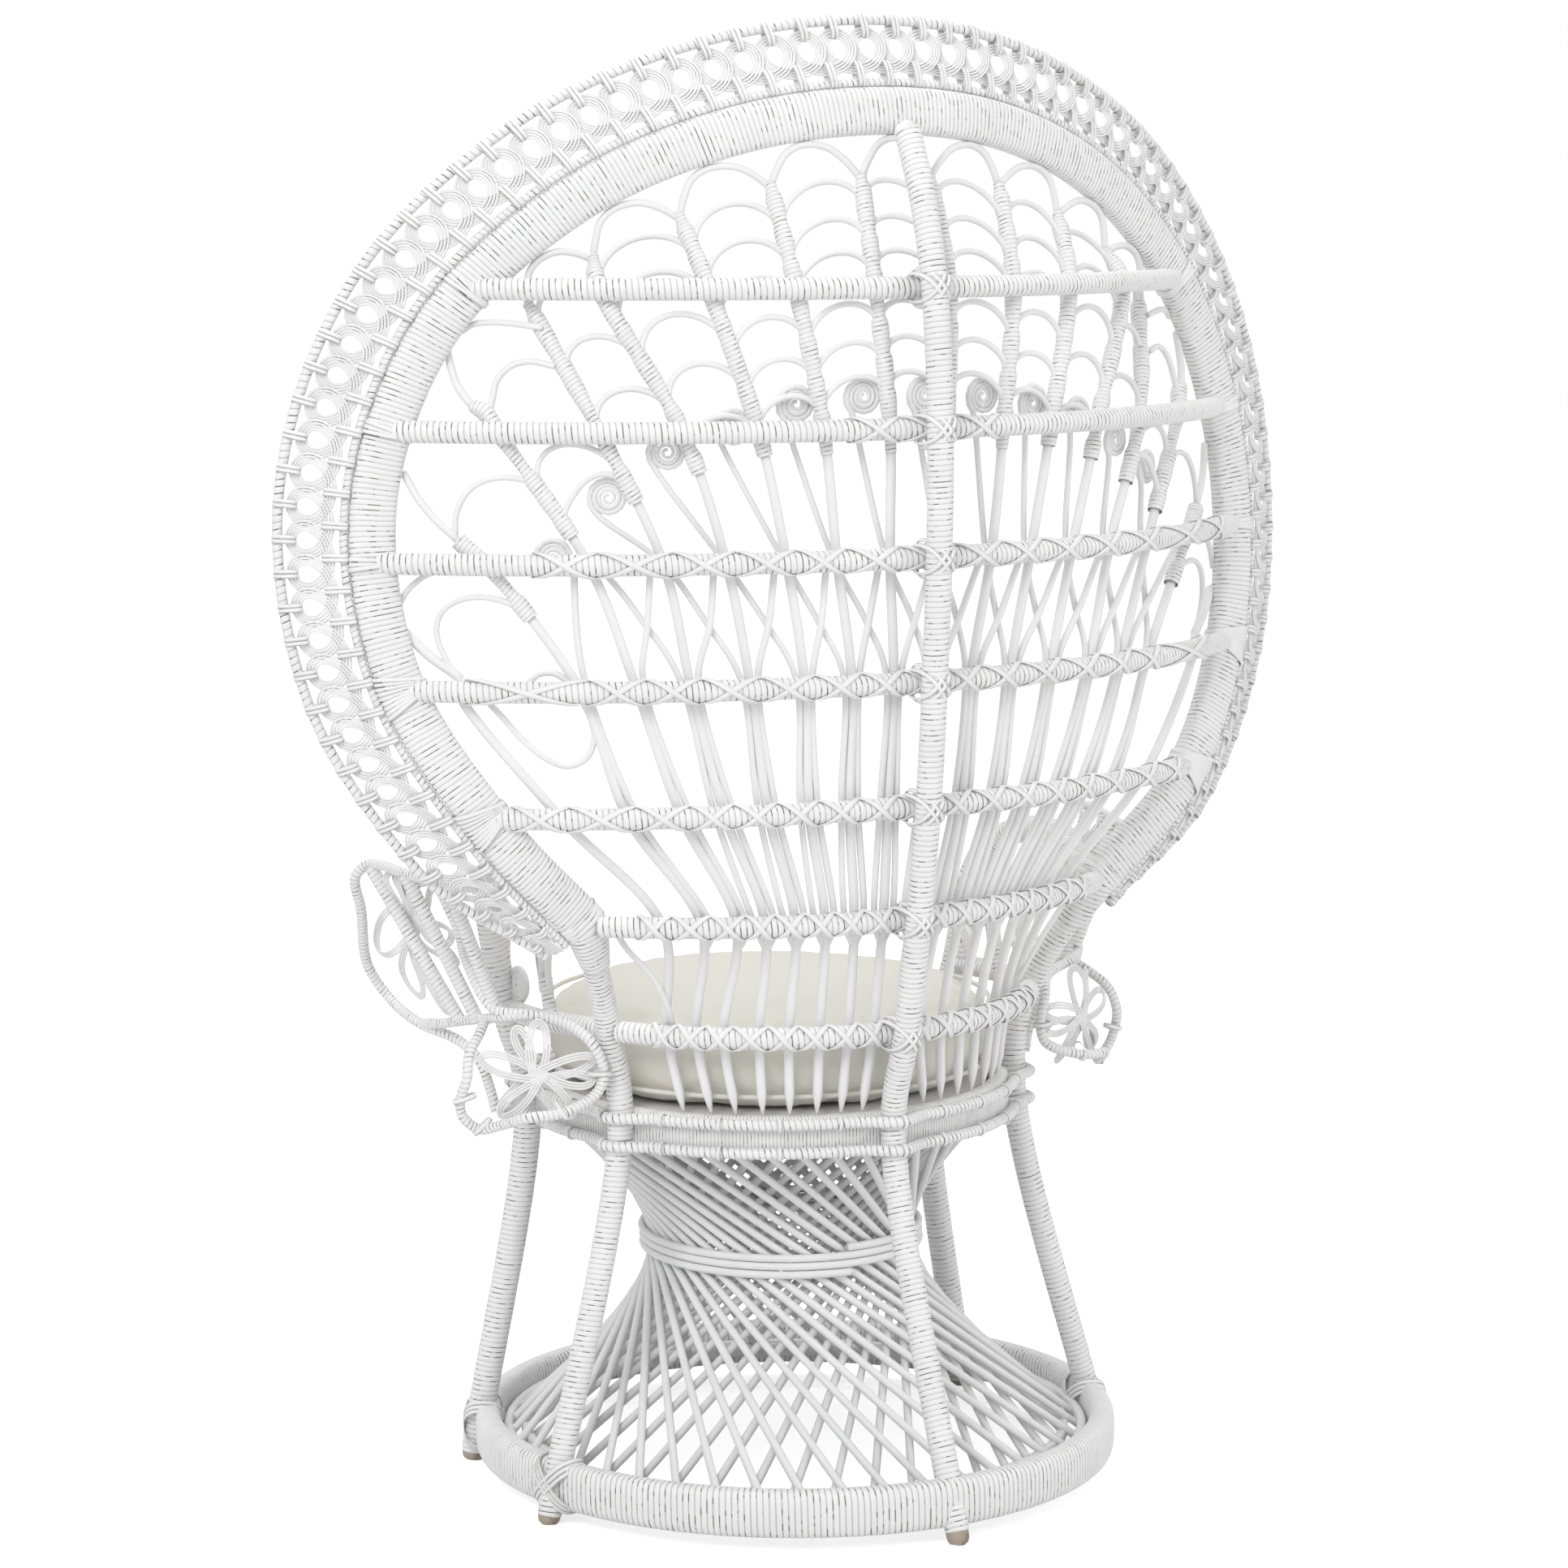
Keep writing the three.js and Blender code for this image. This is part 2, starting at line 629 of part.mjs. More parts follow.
function heightOnto(points, z) {
  let i = 0;
  while (i < points.length - 2 && (points[i + 1].z - z) * (points[i].z - z) > 0) i += 1;
  const near = points[i];
  const far = points[i + 1];
  return near.clone().lerp(far, (z - near.z) / (far.z - near.z));
}

const hoopLeft = hoopFrames.slice(hoopSteps / 2).map((frame) => frame.place);
const railHeights = railShares.map((share) => hoopBottomHeight + share * hoopRise);
railHeights.push(seatTopHeight + lowRailShare * (hoopBottomHeight - seatTopHeight));
const rails = railHeights.map((z, index) => {
  const isLow = index === railHeights.length - 1;
  const end = index === railHeights.length - 2 ? hoopEnd.clone().setZ(z)
    : heightOnto(isLow ? sidePostPoints(1).slice(1) : hoopLeft, z);
  const middle = heightOnto(spinePoints.slice(1), z).y - railStart;
  const sag = middle - end.y;
  const radius = (end.x ** 2 + sag ** 2) / (2 * sag);
  return { z, end, radius, centreY: middle - radius, half: Math.asin(end.x / radius) };
});

// An odd count of straight pieces, so that one lies flat against the centre post
const railPieces = 9;
function makeRails() {
  const cutters = {
    7: [clearOf.post_side_left, clearOf.post_side_right],
    6: [hoopClear, clearOf.post_side_left, clearOf.post_side_right, clearOf.post_front_left, clearOf.post_front_right],
  };
  rails.forEach((rail, index) => {
    const points = [];
    const radius = rail.radius / Math.cos(rail.half / railPieces);
    for (let i = 0; i <= railPieces; i += 1) {
      const degrees = THREE.MathUtils.radToDeg(rail.half * ((2 * i) / railPieces - 1));
      points.push(around(rail.centreY, radius, degrees, rail.z));
    }
    addPart(`back_rail_${index + 1}`, trimmed(rod(points, railRadius, 6), ...(cutters[index + 1] || [hoopClear])));
  });
}

// Side rails run on from the lowest back rail to the front posts, bowed out by a share of their length.
const sideRailBowShare = 0.075;
const sideRailMarks = [];
function makeSideRails() {
  const low = rails[rails.length - 1];
  const front = heightOnto(frontPostPoints(1).slice(1), low.z - postRadius / 2);
  const bow = low.end.clone().lerp(front, 0.5);
  bow.x += sideRailBowShare * low.end.distanceTo(front);
  sideRailMarks.push(low.end, bow, front);
  for (const [side, word] of bothSides) {
    const geometry = rod(onSide(sideRailMarks, side), railRadius, 6, 3);
    addPart(`side_rail_${word}`, trimmed(geometry, clearOf[`post_side_${word}`], clearOf[`post_front_${word}`]));
  }
}

// Ribs of the back

// Where the ribs of one half cross the rails, from the lowest rail up, as shares of each rail's half length
const ribShares = [
  [0.059, 0.056, 0.053, 0.047, 0.062, 0.067, 0.102],
  [0.169, 0.163, 0.157, 0.142, 0.176, 0.212, 0.302],
  [0.287, 0.266, 0.261, 0.245, 0.279, 0.346, 0.503],
  [0.406, 0.366, 0.364, 0.358, 0.396, 0.492, 0.733],
  [0.515, 0.464, 0.468, 0.476, 0.512, 0.642],
  [0.636, 0.554, 0.569, 0.58, 0.644, 0.815],
  [0.724, 0.659, 0.689, 0.684, 0.815],
  [0.811, 0.772, 0.832, 0.896],
];
// Angles of the ribs on the seat band, as shares of a right angle
const ribSeatShares = [0.067, 0.128, 0.194, 0.267, 0.339, 0.411, 0.478, 0.556];
// Rib tops: shares along the hoop's half, and depths inside its edge as shares of the crest depth
const ribTopShares = [
  [0.0377, 1.05], [0.1267, 0.92], [0.2138, 0.96], [0.2985, 0.85],
  [0.365, 0.75], [0.4752, 1.08], [0.5913, 1.15], [0.69, 1.1],
];
const lumpShares = [0, 0.0875, 0.1763, 0.2603, 0.335, 0.4272, 0.5415, 0.64];
const ribOffset = railRadius + ribRadius + fitGap;

const ribFootShare = 0.45;
const ribFootHeight = seatTopHeight + fitGap + ribFootShare * ribRadius;

const ribAxes = {};
ribShares.forEach((crossings, index) => {
  const start = around(seatCentreY, seatBandOuterRadius - seatBandThickness / 2, 90 * ribSeatShares[index], ribFootHeight);
  const points = crossings.map((share, k) => {
    const rail = rails[rails.length - 1 - k];
    const angle = Math.asin((share * rail.end.x) / (rail.radius - ribOffset));
    return around(rail.centreY, rail.radius - ribOffset, THREE.MathUtils.radToDeg(angle), rail.z);
  });
  const [share, depth] = ribTopShares[index];
  const axis = [start, ...points, insideHoop(share, depth * ribCrestDepth)];
  ribAxes[index + 1] = axis;
  ribAxes[-index - 1] = onSide(axis, -1);
});

// Ribs are numbered outwards from the centre post, with the sitter's right ones negative.
const ribAt = (rib, z) => heightOnto(ribAxes[rib], z);
const nextRib = (rib, steps) => {
  const moved = rib + steps;
  return rib * moved > 0 ? moved : moved + Math.sign(steps);
};

// Direction from the ribs' surface towards the sitter, level.
function inwardAt(place) {
  const near = rails.reduce((best, rail) => (
    Math.abs(rail.z - place.z) < Math.abs(best.z - place.z) ? rail : best));
  return point(-place.x, near.centreY - place.y, 0).normalize();
}

// Point between two ribs at a height, a share of the way across and a depth towards the sitter.
function between(rib, other, share, z, depth) {
  const place = ribAt(rib, z).lerp(ribAt(other, z), share);
  return place.addScaledVector(inwardAt(place), depth);
}

// Point beside a rib: an offset square to it towards the sitter's left, and a depth towards the sitter.
function besideRib(rib, z, offset, depth) {
  const place = ribAt(rib, z);
  const inward = inwardAt(place);
  const across = point(-inward.y, inward.x, 0);
  const slope = ribAt(rib, z + ribRadius).sub(ribAt(rib, z - ribRadius)).normalize().dot(across);
  return place.addScaledVector(inward, depth).addScaledVector(across, offset / Math.sqrt(1 - slope ** 2));
}

const bundleOffset = ribRadius + sideReedRadius + fitGap;
const crossDepth = ribRadius + sideReedRadius + bindingGap;
const passDepth = 2 * sideReedRadius + fitGap;
const sideReedFootShare = 3.2;

// Side reed that leaves a rib, crosses over its left neighbour and ends in a scroll.
// Its row: the rib, the rail where it leaves, its crossing as a share of the step to the next rail,
// and the scroll's height as a share of the hoop's rise.
const scrollRows = [
  [-7, 4, 1, 0.5468], [-6, 4, 1, 0.5868], [-5, 4, 1, 0.6217], [-4, 4, 1, 0.6404], [-3, 4, 1, 0.6517],
  [-2, 4, 1, 0.6554], [-1, 4, 1, 0.6554], [1, 4, 1, 0.6479], [2, 4, 1, 0.6205], [3, 4, 1, 0.5917],
  [4, 4, 1, 0.5381], [5, 4, 1, 0.4657], [6, 5, 0.62, 0.3096],
];
const scrollStartDegrees = -55;
const scrollPointsPerTurn = 6;
function scrollReed([rib, railNumber, crossShare, heightShare]) {
  const next = nextRib(rib, 1);
  const far = nextRib(rib, 2);
  const low = rails[5];
  const leave = rails[railNumber - 1];
  const crossZ = leave.z + crossShare * (rails[railNumber - 2].z - leave.z);
  const points = [
    ribAt(rib, low.z - sideReedFootShare * bundleOffset),
    besideRib(rib, low.z - railRadius / 2, bundleOffset, 0),
    besideRib(rib, (low.z + leave.z) / 2, bundleOffset, 0),
    besideRib(rib, leave.z + railRadius, bundleOffset, 0),
    between(rib, next, 0.5, (leave.z + crossZ) / 2, passDepth),
    between(rib, next, 1, crossZ, crossDepth),
  ];
  const z = hoopBottomHeight + heightShare * hoopRise;
  const centre = between(next, far, 0.5, z, crossDepth);
  const inward = inwardAt(centre);
  const across = point(-inward.y, inward.x, 0);
  const count = Math.round(scrollTurns * scrollPointsPerTurn);
  for (let i = 0; i <= count; i += 1) {
    const turn = i / scrollPointsPerTurn;
    const angle = THREE.MathUtils.degToRad(scrollStartDegrees) + 2 * Math.PI * turn;
    const radius = scrollRadius - scrollPitch * turn;
    points.push(centre.clone().addScaledVector(across, radius * Math.cos(angle)).addScaledVector(up, radius * Math.sin(angle)));
  }
  return rod(points, sideReedRadius, 3);
}

// Side reed that leaves a rib to its right and ends beside its right neighbour.
function leanReed(rib, railNumber) {
  const next = nextRib(rib, -1);
  const low = rails[5];
  const leave = rails[railNumber - 1];
  const reach = rails[railNumber - 2];
  const points = [
    ribAt(rib, low.z - sideReedFootShare * bundleOffset),
    besideRib(rib, low.z - railRadius / 2, -bundleOffset, 0),
    besideRib(rib, (low.z + leave.z) / 2, -bundleOffset, 0),
    besideRib(rib, leave.z + railRadius, -bundleOffset, 0),
    between(rib, next, 0.5, (leave.z + reach.z) / 2, 0),
    besideRib(next, reach.z - railRadius, bundleOffset + bindingGap, 0),
  ];
  return rod(points, sideReedRadius, 3);
}

// Scallop arches between neighbouring ribs: apex heights as shares of the hoop's rise, from the centre gap out
const archShares = [
  [0.9151, 0.8714, 0.8302, 0.7703, 0.7266, 0.6841],
  [0.9126, 0.8677, 0.8277, 0.7665, 0.7203, 0.6791],
  [0.8864, 0.8427, 0.8002, 0.7516, 0.7016, 0.6567],
  [0.8477, 0.8052, 0.7553, 0.6966, 0.6342],
  [0.7903, 0.7291, 0.6667],
  [0.6954, 0.6005],
  [0.5468],
];
const archRiseShares = [0.28, 0.5];
const archShoulderShares = [0.45, 0.4];
const archEaseShare = 0.25;

// Arch fused to one rib at its start, which ends beside the next rib out.
function arch(rib, outer, apex, startZ, endZ) {
  const start = ribAt(rib, startZ);
  const end = besideRib(outer, endZ, -Math.sign(outer) * (ribRadius + archReedRadius + fitGap), 0);
  const shoulder = (from, share) => {
    const place = from.clone().lerp(apex, share);
    place.z = from.z + (apex.z - from.z) * Math.sin((Math.PI / 2) * (share + archEaseShare));
    return place;
  };
  const [nearShare, farShare] = archShoulderShares;
  return rod([start, shoulder(start, nearShare), apex, shoulder(end, farShare), end], archReedRadius, 3);
}

function ribArches(rib) {
  const index = Math.abs(rib);
  const outer = rib + Math.sign(rib);
  if (index >= ribShares.length) return [];
  const pieces = [];
  pieces.push(crestArch(rib, outer));
  for (const share of archShares[index] || []) {
    pieces.push(plainArch(rib, outer, hoopBottomHeight + share * hoopRise));
  }
  return pieces;
}

// Arch from one rib's top to the next rib's, which touches the hoop between them.
const crestShoulderShares = [0.55, 0.2];
function crestArch(rib, outer) {
  const [way, drop] = crestShoulderShares;
  const lump = outer * rib < 0 ? lumpShares[0] : Math.sign(rib) * lumpShares[Math.abs(rib)];
  const touch = fitGap + archReedRadius;
  const shoulder = (one) => {
    const [share, depth] = ribTopShares[Math.abs(one) - 1];
    return insideHoop(THREE.MathUtils.lerp(Math.sign(one) * share, lump, way), touch + drop * depth * ribCrestDepth);
  };
  const topZ = (one) => ribAxes[one][ribAxes[one].length - 1].z - archReedRadius;
  // The outermost rib is met from the hoop's side.
  const facing = Math.abs(outer) === ribShares.length ? 1 : -1;
  const apart = facing * Math.sign(outer) * (ribRadius + archReedRadius + fitGap);
  return rod([
    ribAt(rib, topZ(rib)), shoulder(rib), insideHoop(lump, touch), shoulder(outer),
    besideRib(outer, topZ(outer), apart, 0),
  ], archReedRadius, 3);
}

function plainArch(rib, outer, apexZ) {
  const gap = ribAt(rib, apexZ).distanceTo(ribAt(outer, apexZ));
  const [startShare, endShare] = archRiseShares;
  const apex = between(rib, outer, 0.5, apexZ, 0);
  return arch(rib, outer, apex, apexZ - startShare * gap, apexZ - endShare * gap);
}

function makeRibs() {
  for (const [side, word] of bothSides) {
    for (let index = 1; index <= ribShares.length; index += 1) {
      const rib = side * index;
      const scroll = scrollRows.filter(([owner]) => owner === rib).map(scrollReed);
      const lean = rib > -ribShares.length + 1 && index < ribShares.length ? [leanReed(rib, 4)] : [];
      const centre = rib === 1 ? centreArches() : [];
      const pieces = [rod(ribAxes[rib], ribRadius, 4), ...ribArches(rib), ...scroll, ...lean, ...centre];
      addPart(`rib_${word}_${index}`, pieces.length > 1 ? joined(...pieces) : pieces[0]);
    }
  }
}

function centreArches() {
  return [
    crestArch(1, -1),
    ...archShares[0].map((share) => plainArch(1, -1, hoopBottomHeight + share * hoopRise)),
  ];
}

// Arms

// Arm canes: across, back and down as shares of the arm's overhang, front depth and drop
const armEdgeShares = [
  [0.429, 1.027, 0], [0.534, 0.759, 0.008], [0.764, 0.268, 0.02], [0.907, -0.357, 0.008], [1, -0.95, 0],
  [1.05, -1.06, 0.05], [0.969, -1.223, 0.188], [0.826, -1.5625, 0.435], [0.702, -1.53, 0.56],
  [0.658, -1.027, 0.6235], [0.516, -0.6875, 0.671], [0.453, -0.482, 0.733], [0.379, -0.491, 0.847],
  [0.348, -0.473, 0.933],
];
const armBackShares = [
  [0.839, -0.107, 0.012], [0.702, -0.09, 0.204], [0.602, -0.24, 0.337], [0.516, 0.018, 0.498],
  [0.366, 0.232, 0.514], [0.153, 0.348, 0.553], [0.053, 0.532, 0.62], [-0.001, 0.58, 0.724],
  [0.043, 0.578, 0.796], [0.273, 0.62, 0.852], [0.472, 0.5625, 0.863], [0.565, 0.268, 0.91], [0.64, 0.098, 0.933],
  [0.733, 0.0625, 0.882], [0.758, 0.098, 0.816], [0.739, 0.17, 0.737], [0.702, 0.107, 0.651], [0.6, 0, 0.585],
  [0.522, -0.125, 0.545],
];
const waistCaneShares = [
  [0.657, -1.015, 0.6225], [0.615, -0.696, 0.6], [0.565, -0.384, 0.569], [0.522, -0.125, 0.545],
  [0.466, 0.107, 0.525], [0.366, 0.232, 0.514],
];
const spindleShares = [
  [[0.994, -0.93, 0.004], [0.578, -0.464, 0.577]],
  [[0.919, -0.464, 0.006], [0.54, -0.232, 0.556]],
  [[0.814, 0.06, 0.017], [0.506, -0.01, 0.48]],
];
const spindleInset = 5;
const armPlace = ([across, reach, drop]) => point(
  seatPostRadius + across * armOverhang,
  reach * armFrontDepth,
  armHeight - drop * armDrop,
);

// Knotwork panel of the arm's lower curl, ruled between its front and back canes
const knotRowShares = [[0.723, 0.24], [0.8, 0.3167], [0.885, 0.411], [0.955, 0.4933]];
const knotInsetShare = 2.3;
function knotPanel(side) {
  const edge = new Route(onSide(armEdgeShares.map(armPlace), side));
  const rear = new Route(onSide(armBackShares.map(armPlace), side));
  return (share, across) => {
    const step = share * (knotRowShares.length - 1);
    const index = Math.min(Math.floor(step), knotRowShares.length - 2);
    const mix = (k) => THREE.MathUtils.lerp(knotRowShares[index][k], knotRowShares[index + 1][k], step - index);
    const start = edge.getPoint(mix(0));
    const end = rear.getPoint(mix(1));
    const inset = knotInsetShare * armCaneRadius;
    const run = end.clone().sub(start);
    const length = run.length();
    const reach = THREE.MathUtils.lerp(inset, length - inset, side > 0 ? across : 1 - across);
    return start.addScaledVector(run, reach / length);
  };
}

function makeArms() {
  for (const [side, word] of bothSides) {
    const places = (shares) => onSide(shares.map(armPlace), side);
    const edgePoints = places(armEdgeShares);
    const backPoints = places(armBackShares);
    const waistPoints = places(waistCaneShares);
    const edgeClear = flatClear(edgePoints, armCaneRadius, 5);
    const backClear = flatClear(backPoints, armCaneRadius, 5);
    const waistClear = flatClear(waistPoints, armCaneRadius, 5);
    addPart(`arm_edge_front_${word}`, trimmed(rod(edgePoints, armCaneRadius, 5), hoopClear));
    const rear = joined(rod(backPoints, armCaneRadius, 5), rod(waistPoints, armCaneRadius, 5));
    addPart(`arm_edge_back_${word}`, trimmed(rear, edgeClear, clearOf[`post_side_${word}`]));
    spindleShares.forEach((ends, index) => {
      const [top, foot] = places(ends);
      const inset = foot.clone().sub(top).setLength(spindleInset);
      const spindle = rod([top.clone().add(inset), foot.clone().sub(inset)], spindleRadius, 4);
      addPart(`arm_spindle_${index + 1}_${word}`, trimmed(spindle, edgeClear, waistClear, backClear));
    });
    addPart(`arm_knotwork_${word}`, openwork(knotPanel(side), 3, 2, knotThickness));
  }
}

// Side screens

// Reeds of the screen above a side rail: back and up as shares of the front post's rise and of the seat's post circle
const screenAcrossShare = 1.04;
const screenShares = {
  stem: [[-0.01, 0.38], [-0.02, 0.45], [-0.04, 0.56], [-0.055, 0.635]],
  curl: [
    [-0.04, 0.6], [-0.09, 0.74], [-0.16, 0.782], [-0.215, 0.755], [-0.24, 0.68], [-0.235, 0.58],
    [-0.2, 0.515], [-0.15, 0.505], [-0.12, 0.55], [-0.145, 0.6], [-0.18, 0.585],
  ],
  branch: [[-0.035, 0.56], [0, 0.68], [0.05, 0.75], [0.11, 0.765], [0.16, 0.74]],
};
function makeScreens() {
  for (const [side, word] of bothSides) {
    const place = ([reach, rise]) => point(
      side * screenAcrossShare * seatPostRadius,
      reach * seatPostRadius * 2 * screenAcrossShare,
      seatMiddleHeight + rise * armRailRise,
    );
    const reed = (key) => rod(screenShares[key].map(place), screenReedRadius, 4);
    const railClear = rod(onSide(sideRailMarks, side), railRadius + fitGap, 6, 3);
    const posts = [clearOf[`post_side_${word}`], clearOf[`post_front_${word}`]];
    addPart(`side_screen_${word}`, trimmed(joined(reed('stem'), reed('curl'), reed('branch')), railClear, ...posts));
  }
}

makePosts();
makeHoop();
makeRails();
makeSideRails();
makeRibs();
makeArms();
makeScreens();
makeSeat();
makeBase();

// The origin ends on the floor under the middle of the chair's own extent.
const extent = new THREE.Box3().setFromObject(chair);
chair.position.y = -(extent.min.y + extent.max.y) / 2;

export default chair;
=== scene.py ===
# %% [markdown]
# # A white peacock chair
# The chair is rattan: poles, canes and reeds, nearly all of them wrapped in a flat strip of cane and
# painted white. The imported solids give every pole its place. This notebook dresses them with the wrapping,
# the lace and the cushion.

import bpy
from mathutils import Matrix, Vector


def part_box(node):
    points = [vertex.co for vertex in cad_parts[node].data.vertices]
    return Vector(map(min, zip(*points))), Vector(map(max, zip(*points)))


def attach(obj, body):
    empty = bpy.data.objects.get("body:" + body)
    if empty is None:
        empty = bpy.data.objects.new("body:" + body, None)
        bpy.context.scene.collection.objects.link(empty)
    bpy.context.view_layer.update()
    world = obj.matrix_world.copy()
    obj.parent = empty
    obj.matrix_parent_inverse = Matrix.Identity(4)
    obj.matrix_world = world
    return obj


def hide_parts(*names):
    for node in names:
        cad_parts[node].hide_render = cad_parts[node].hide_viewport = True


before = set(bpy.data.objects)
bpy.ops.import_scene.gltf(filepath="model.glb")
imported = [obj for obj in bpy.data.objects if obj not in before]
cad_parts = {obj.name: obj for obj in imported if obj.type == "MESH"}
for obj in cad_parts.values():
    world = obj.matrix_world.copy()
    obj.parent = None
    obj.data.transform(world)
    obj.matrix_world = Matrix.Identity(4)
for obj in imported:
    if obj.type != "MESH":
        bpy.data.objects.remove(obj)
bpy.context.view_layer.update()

# %% [markdown]
# ## Smooth courses
# A weaver bends a cane through a few tied places and lets it find a fair curve between them. A Catmull-Rom
# curve does the same. Bezier handles would need a direction at each place, which nobody knows.

# %% Curves through chosen places
import math

import bpy
import mathutils
import numpy as np

MM = 0.001
COURSE_STEPS = 24
UP = np.array([0.0, 0.0, 1.0])
BACK = np.array([0.0, 1.0, 0.0])
WORDS = {1: "left", -1: "right"}
chance = np.random.default_rng(7)


def unit(v):
    return v / np.linalg.norm(v, axis=-1, keepdims=True)


def course(points, shares):
    """Places at shares of the way along a smooth curve, each span between two points being an equal share."""
    points = np.asarray(points, float)
    last = len(points) - 1
    padded = np.vstack([2 * points[0] - points[1], points, 2 * points[-1] - points[-2]])
    step = np.clip(np.asarray(shares, float), 0, 1) * last
    index = np.minimum(step.astype(int), last - 1)
    t = (step - index)[:, None]
    p0, p1, p2, p3 = (padded[index + k] for k in range(4))
    spans = (p1 - p0, p2 - p1, p3 - p2)
    d0, d1, d2 = (np.sqrt(np.linalg.norm(span, axis=1, keepdims=True)) for span in spans)
    m1 = ((p1 - p0) / d0 - (p2 - p0) / (d0 + d1) + (p2 - p1) / d1) * d1
    m2 = ((p2 - p1) / d1 - (p3 - p1) / (d1 + d2) + (p3 - p2) / d2) * d1
    return p1 + m1 * t + (3 * (p2 - p1) - 2 * m1 - m2) * t**2 + (2 * (p1 - p2) + m1 + m2) * t**3


def lengths(path):
    return np.concatenate([[0.0], np.cumsum(np.linalg.norm(np.diff(path, axis=0), axis=1))])


def respaced(path, spacing):
    run = lengths(path)
    marks = np.linspace(0, run[-1], max(3, int(round(run[-1] / spacing)) + 1))
    return np.stack([np.interp(marks, run, path[:, k]) for k in range(3)], 1)


def fair(points, spacing=4.0):
    """Evenly spaced places along the smooth course through the points."""
    shares = np.linspace(0, 1, COURSE_STEPS * (len(points) - 1) + 1)
    return respaced(course(points, shares), spacing)


def on_side(points, side):
    return np.asarray(points, float) * [side, 1, 1]


def at_height(path, z):
    """The place where a path first comes through a height."""
    crossed = np.nonzero((path[1:, 2] - z) * (path[:-1, 2] - z) <= 0)[0]
    i = crossed[0] if len(crossed) else len(path) - 2
    near, far = path[i], path[i + 1]
    return near + (far - near) * (z - near[2]) / (far[2] - near[2])


def between_heights(path, low, high):
    """The stretch of a rising path between two heights."""
    inside = path[(path[:, 2] > low) & (path[:, 2] < high)]
    ends = [at_height(path, z)[None] for z in (max(low, path[0, 2]), min(high, path[-1, 2]))]
    return np.vstack([ends[0], inside, ends[1]])


print("a straight course keeps its length:", lengths(fair([(0, 0, 0), (50, 0, 0), (100, 0, 0)]))[-1])

# %% [markdown]
# ## Strands
# Everything woven here is one of two things: a round reed, or a flat strip wound round a pole in a close
# helix. Both are grids of points carried along a path. Real ridges are modelled, since a bump alone leaves
# a smooth outline.

# %% A mesh that grows strand by strand
def turning(path, first=None, closed=False):
    """Square directions beside a path that twist as little as they can."""
    ends = (np.roll(path, -1, 0) - np.roll(path, 1, 0)) if closed else np.gradient(path, axis=0)
    along = unit(ends)
    if first is None:
        first = UP if abs(along[0] @ UP) < 0.9 else BACK
    beside = np.empty_like(path)
    for i, t in enumerate(along):
        first = first - t * (first @ t)
        first = first / np.linalg.norm(first)
        beside[i] = first
    return beside, np.cross(along, beside)


class Weave:
    """One mesh made of many strands. U runs along a strand in metres and V goes across it, from 0 to 1."""

    def __init__(self):
        self.places, self.quads, self.uvs, self.looks = [], [], [], []
        self.count = 0

    def add(self, places, quads, uvs, look):
        self.places.append(places.reshape(-1, 3))
        self.quads.append(quads + self.count)
        self.uvs.append(uvs)
        self.looks.append(np.full(len(quads), look))
        self.count += len(self.places[-1])

    def grid(self, places, u, v, wrap=False, loop=False, look=0):
        """Rows of places as a sheet, whose columns may wrap round and whose rows may close on themselves."""
        rows, columns = places.shape[:2]
        i, j = np.meshgrid(np.arange(rows - (not loop)), np.arange(columns - (not wrap)), indexing="ij")
        corners = [(i, j), (i, j + 1), (i + 1, j + 1), (i + 1, j)]
        quads = np.stack([(a % rows) * columns + b % columns for a, b in corners], -1).reshape(-1, 4)
        uvs = np.stack([np.stack([u[a], v[b]], -1) for a, b in corners], 2).reshape(-1, 4, 2)
        self.add(places, quads, uvs, look)


def section(angles, power):
    """A round outline, or one with squarer corners for a higher power."""
    c, s = np.cos(angles), np.sin(angles)
    return np.sign(c) * np.abs(c) ** (2 / power), np.sign(s) * np.abs(s) ** (2 / power)


def halves(half, count):
    """Half sizes beside and over a path at each of its places, from one size or from a pair."""
    pair = half if isinstance(half, tuple) else (half, half)
    return [np.broadcast_to(np.asarray(size, float), count) for size in pair]


BLUNT_REACH, BLUNT_SHARE = 0.45, 0.6


def strand(weave, path, half, sides=8, frames=None, power=2, closed=False, look=0, start=0.0):
    """A reed or strip along a path, with half sizes beside and over it, and with blunt ends if it is open."""
    path = np.asarray(path, float)
    beside, over = frames if frames is not None else turning(path, closed=closed)
    a, b = halves(half, len(path))
    run = lengths(path)
    if not closed:
        along = np.cross(beside, over) * BLUNT_REACH
        path = np.vstack([path[0] - along[0] * b[0], path, path[-1] + along[-1] * b[-1]])
        beside, over = (np.vstack([d[:1], d, d[-1:]]) for d in (beside, over))
        a, b = (np.concatenate([[size[0] * BLUNT_SHARE], size, [size[-1] * BLUNT_SHARE]]) for size in (a, b))
        run = np.concatenate([[-a[1]], run, [run[-1] + a[-2]]])
    angles = 2 * np.pi * (np.arange(sides) + 0.5) / sides
    x, y = section(angles, power)
    wide = beside[:, None] * (a[:, None] * x)[..., None]
    high = over[:, None] * (b[:, None] * y)[..., None]
    u = (np.concatenate([run, [run[-1] + run[1] - run[0]]]) + start) * MM
    first = weave.count
    weave.grid(path[:, None] + wide + high, u, np.linspace(0, 1, sides + 1), wrap=True, loop=closed, look=look)
    if closed:
        return
    for row, flip in ((0, 1), (len(path) - 1, -1)):
        corner = first + row * sides + np.arange(sides)
        hub = np.full(sides // 2, weave.count)
        fan = np.stack([hub, corner[0::2], corner[1::2], np.roll(corner[0::2], -1)], -1)
        weave.add(path[row][None], fan[:, ::flip] - weave.count, np.full((len(fan), 4, 2), 0.5), look)


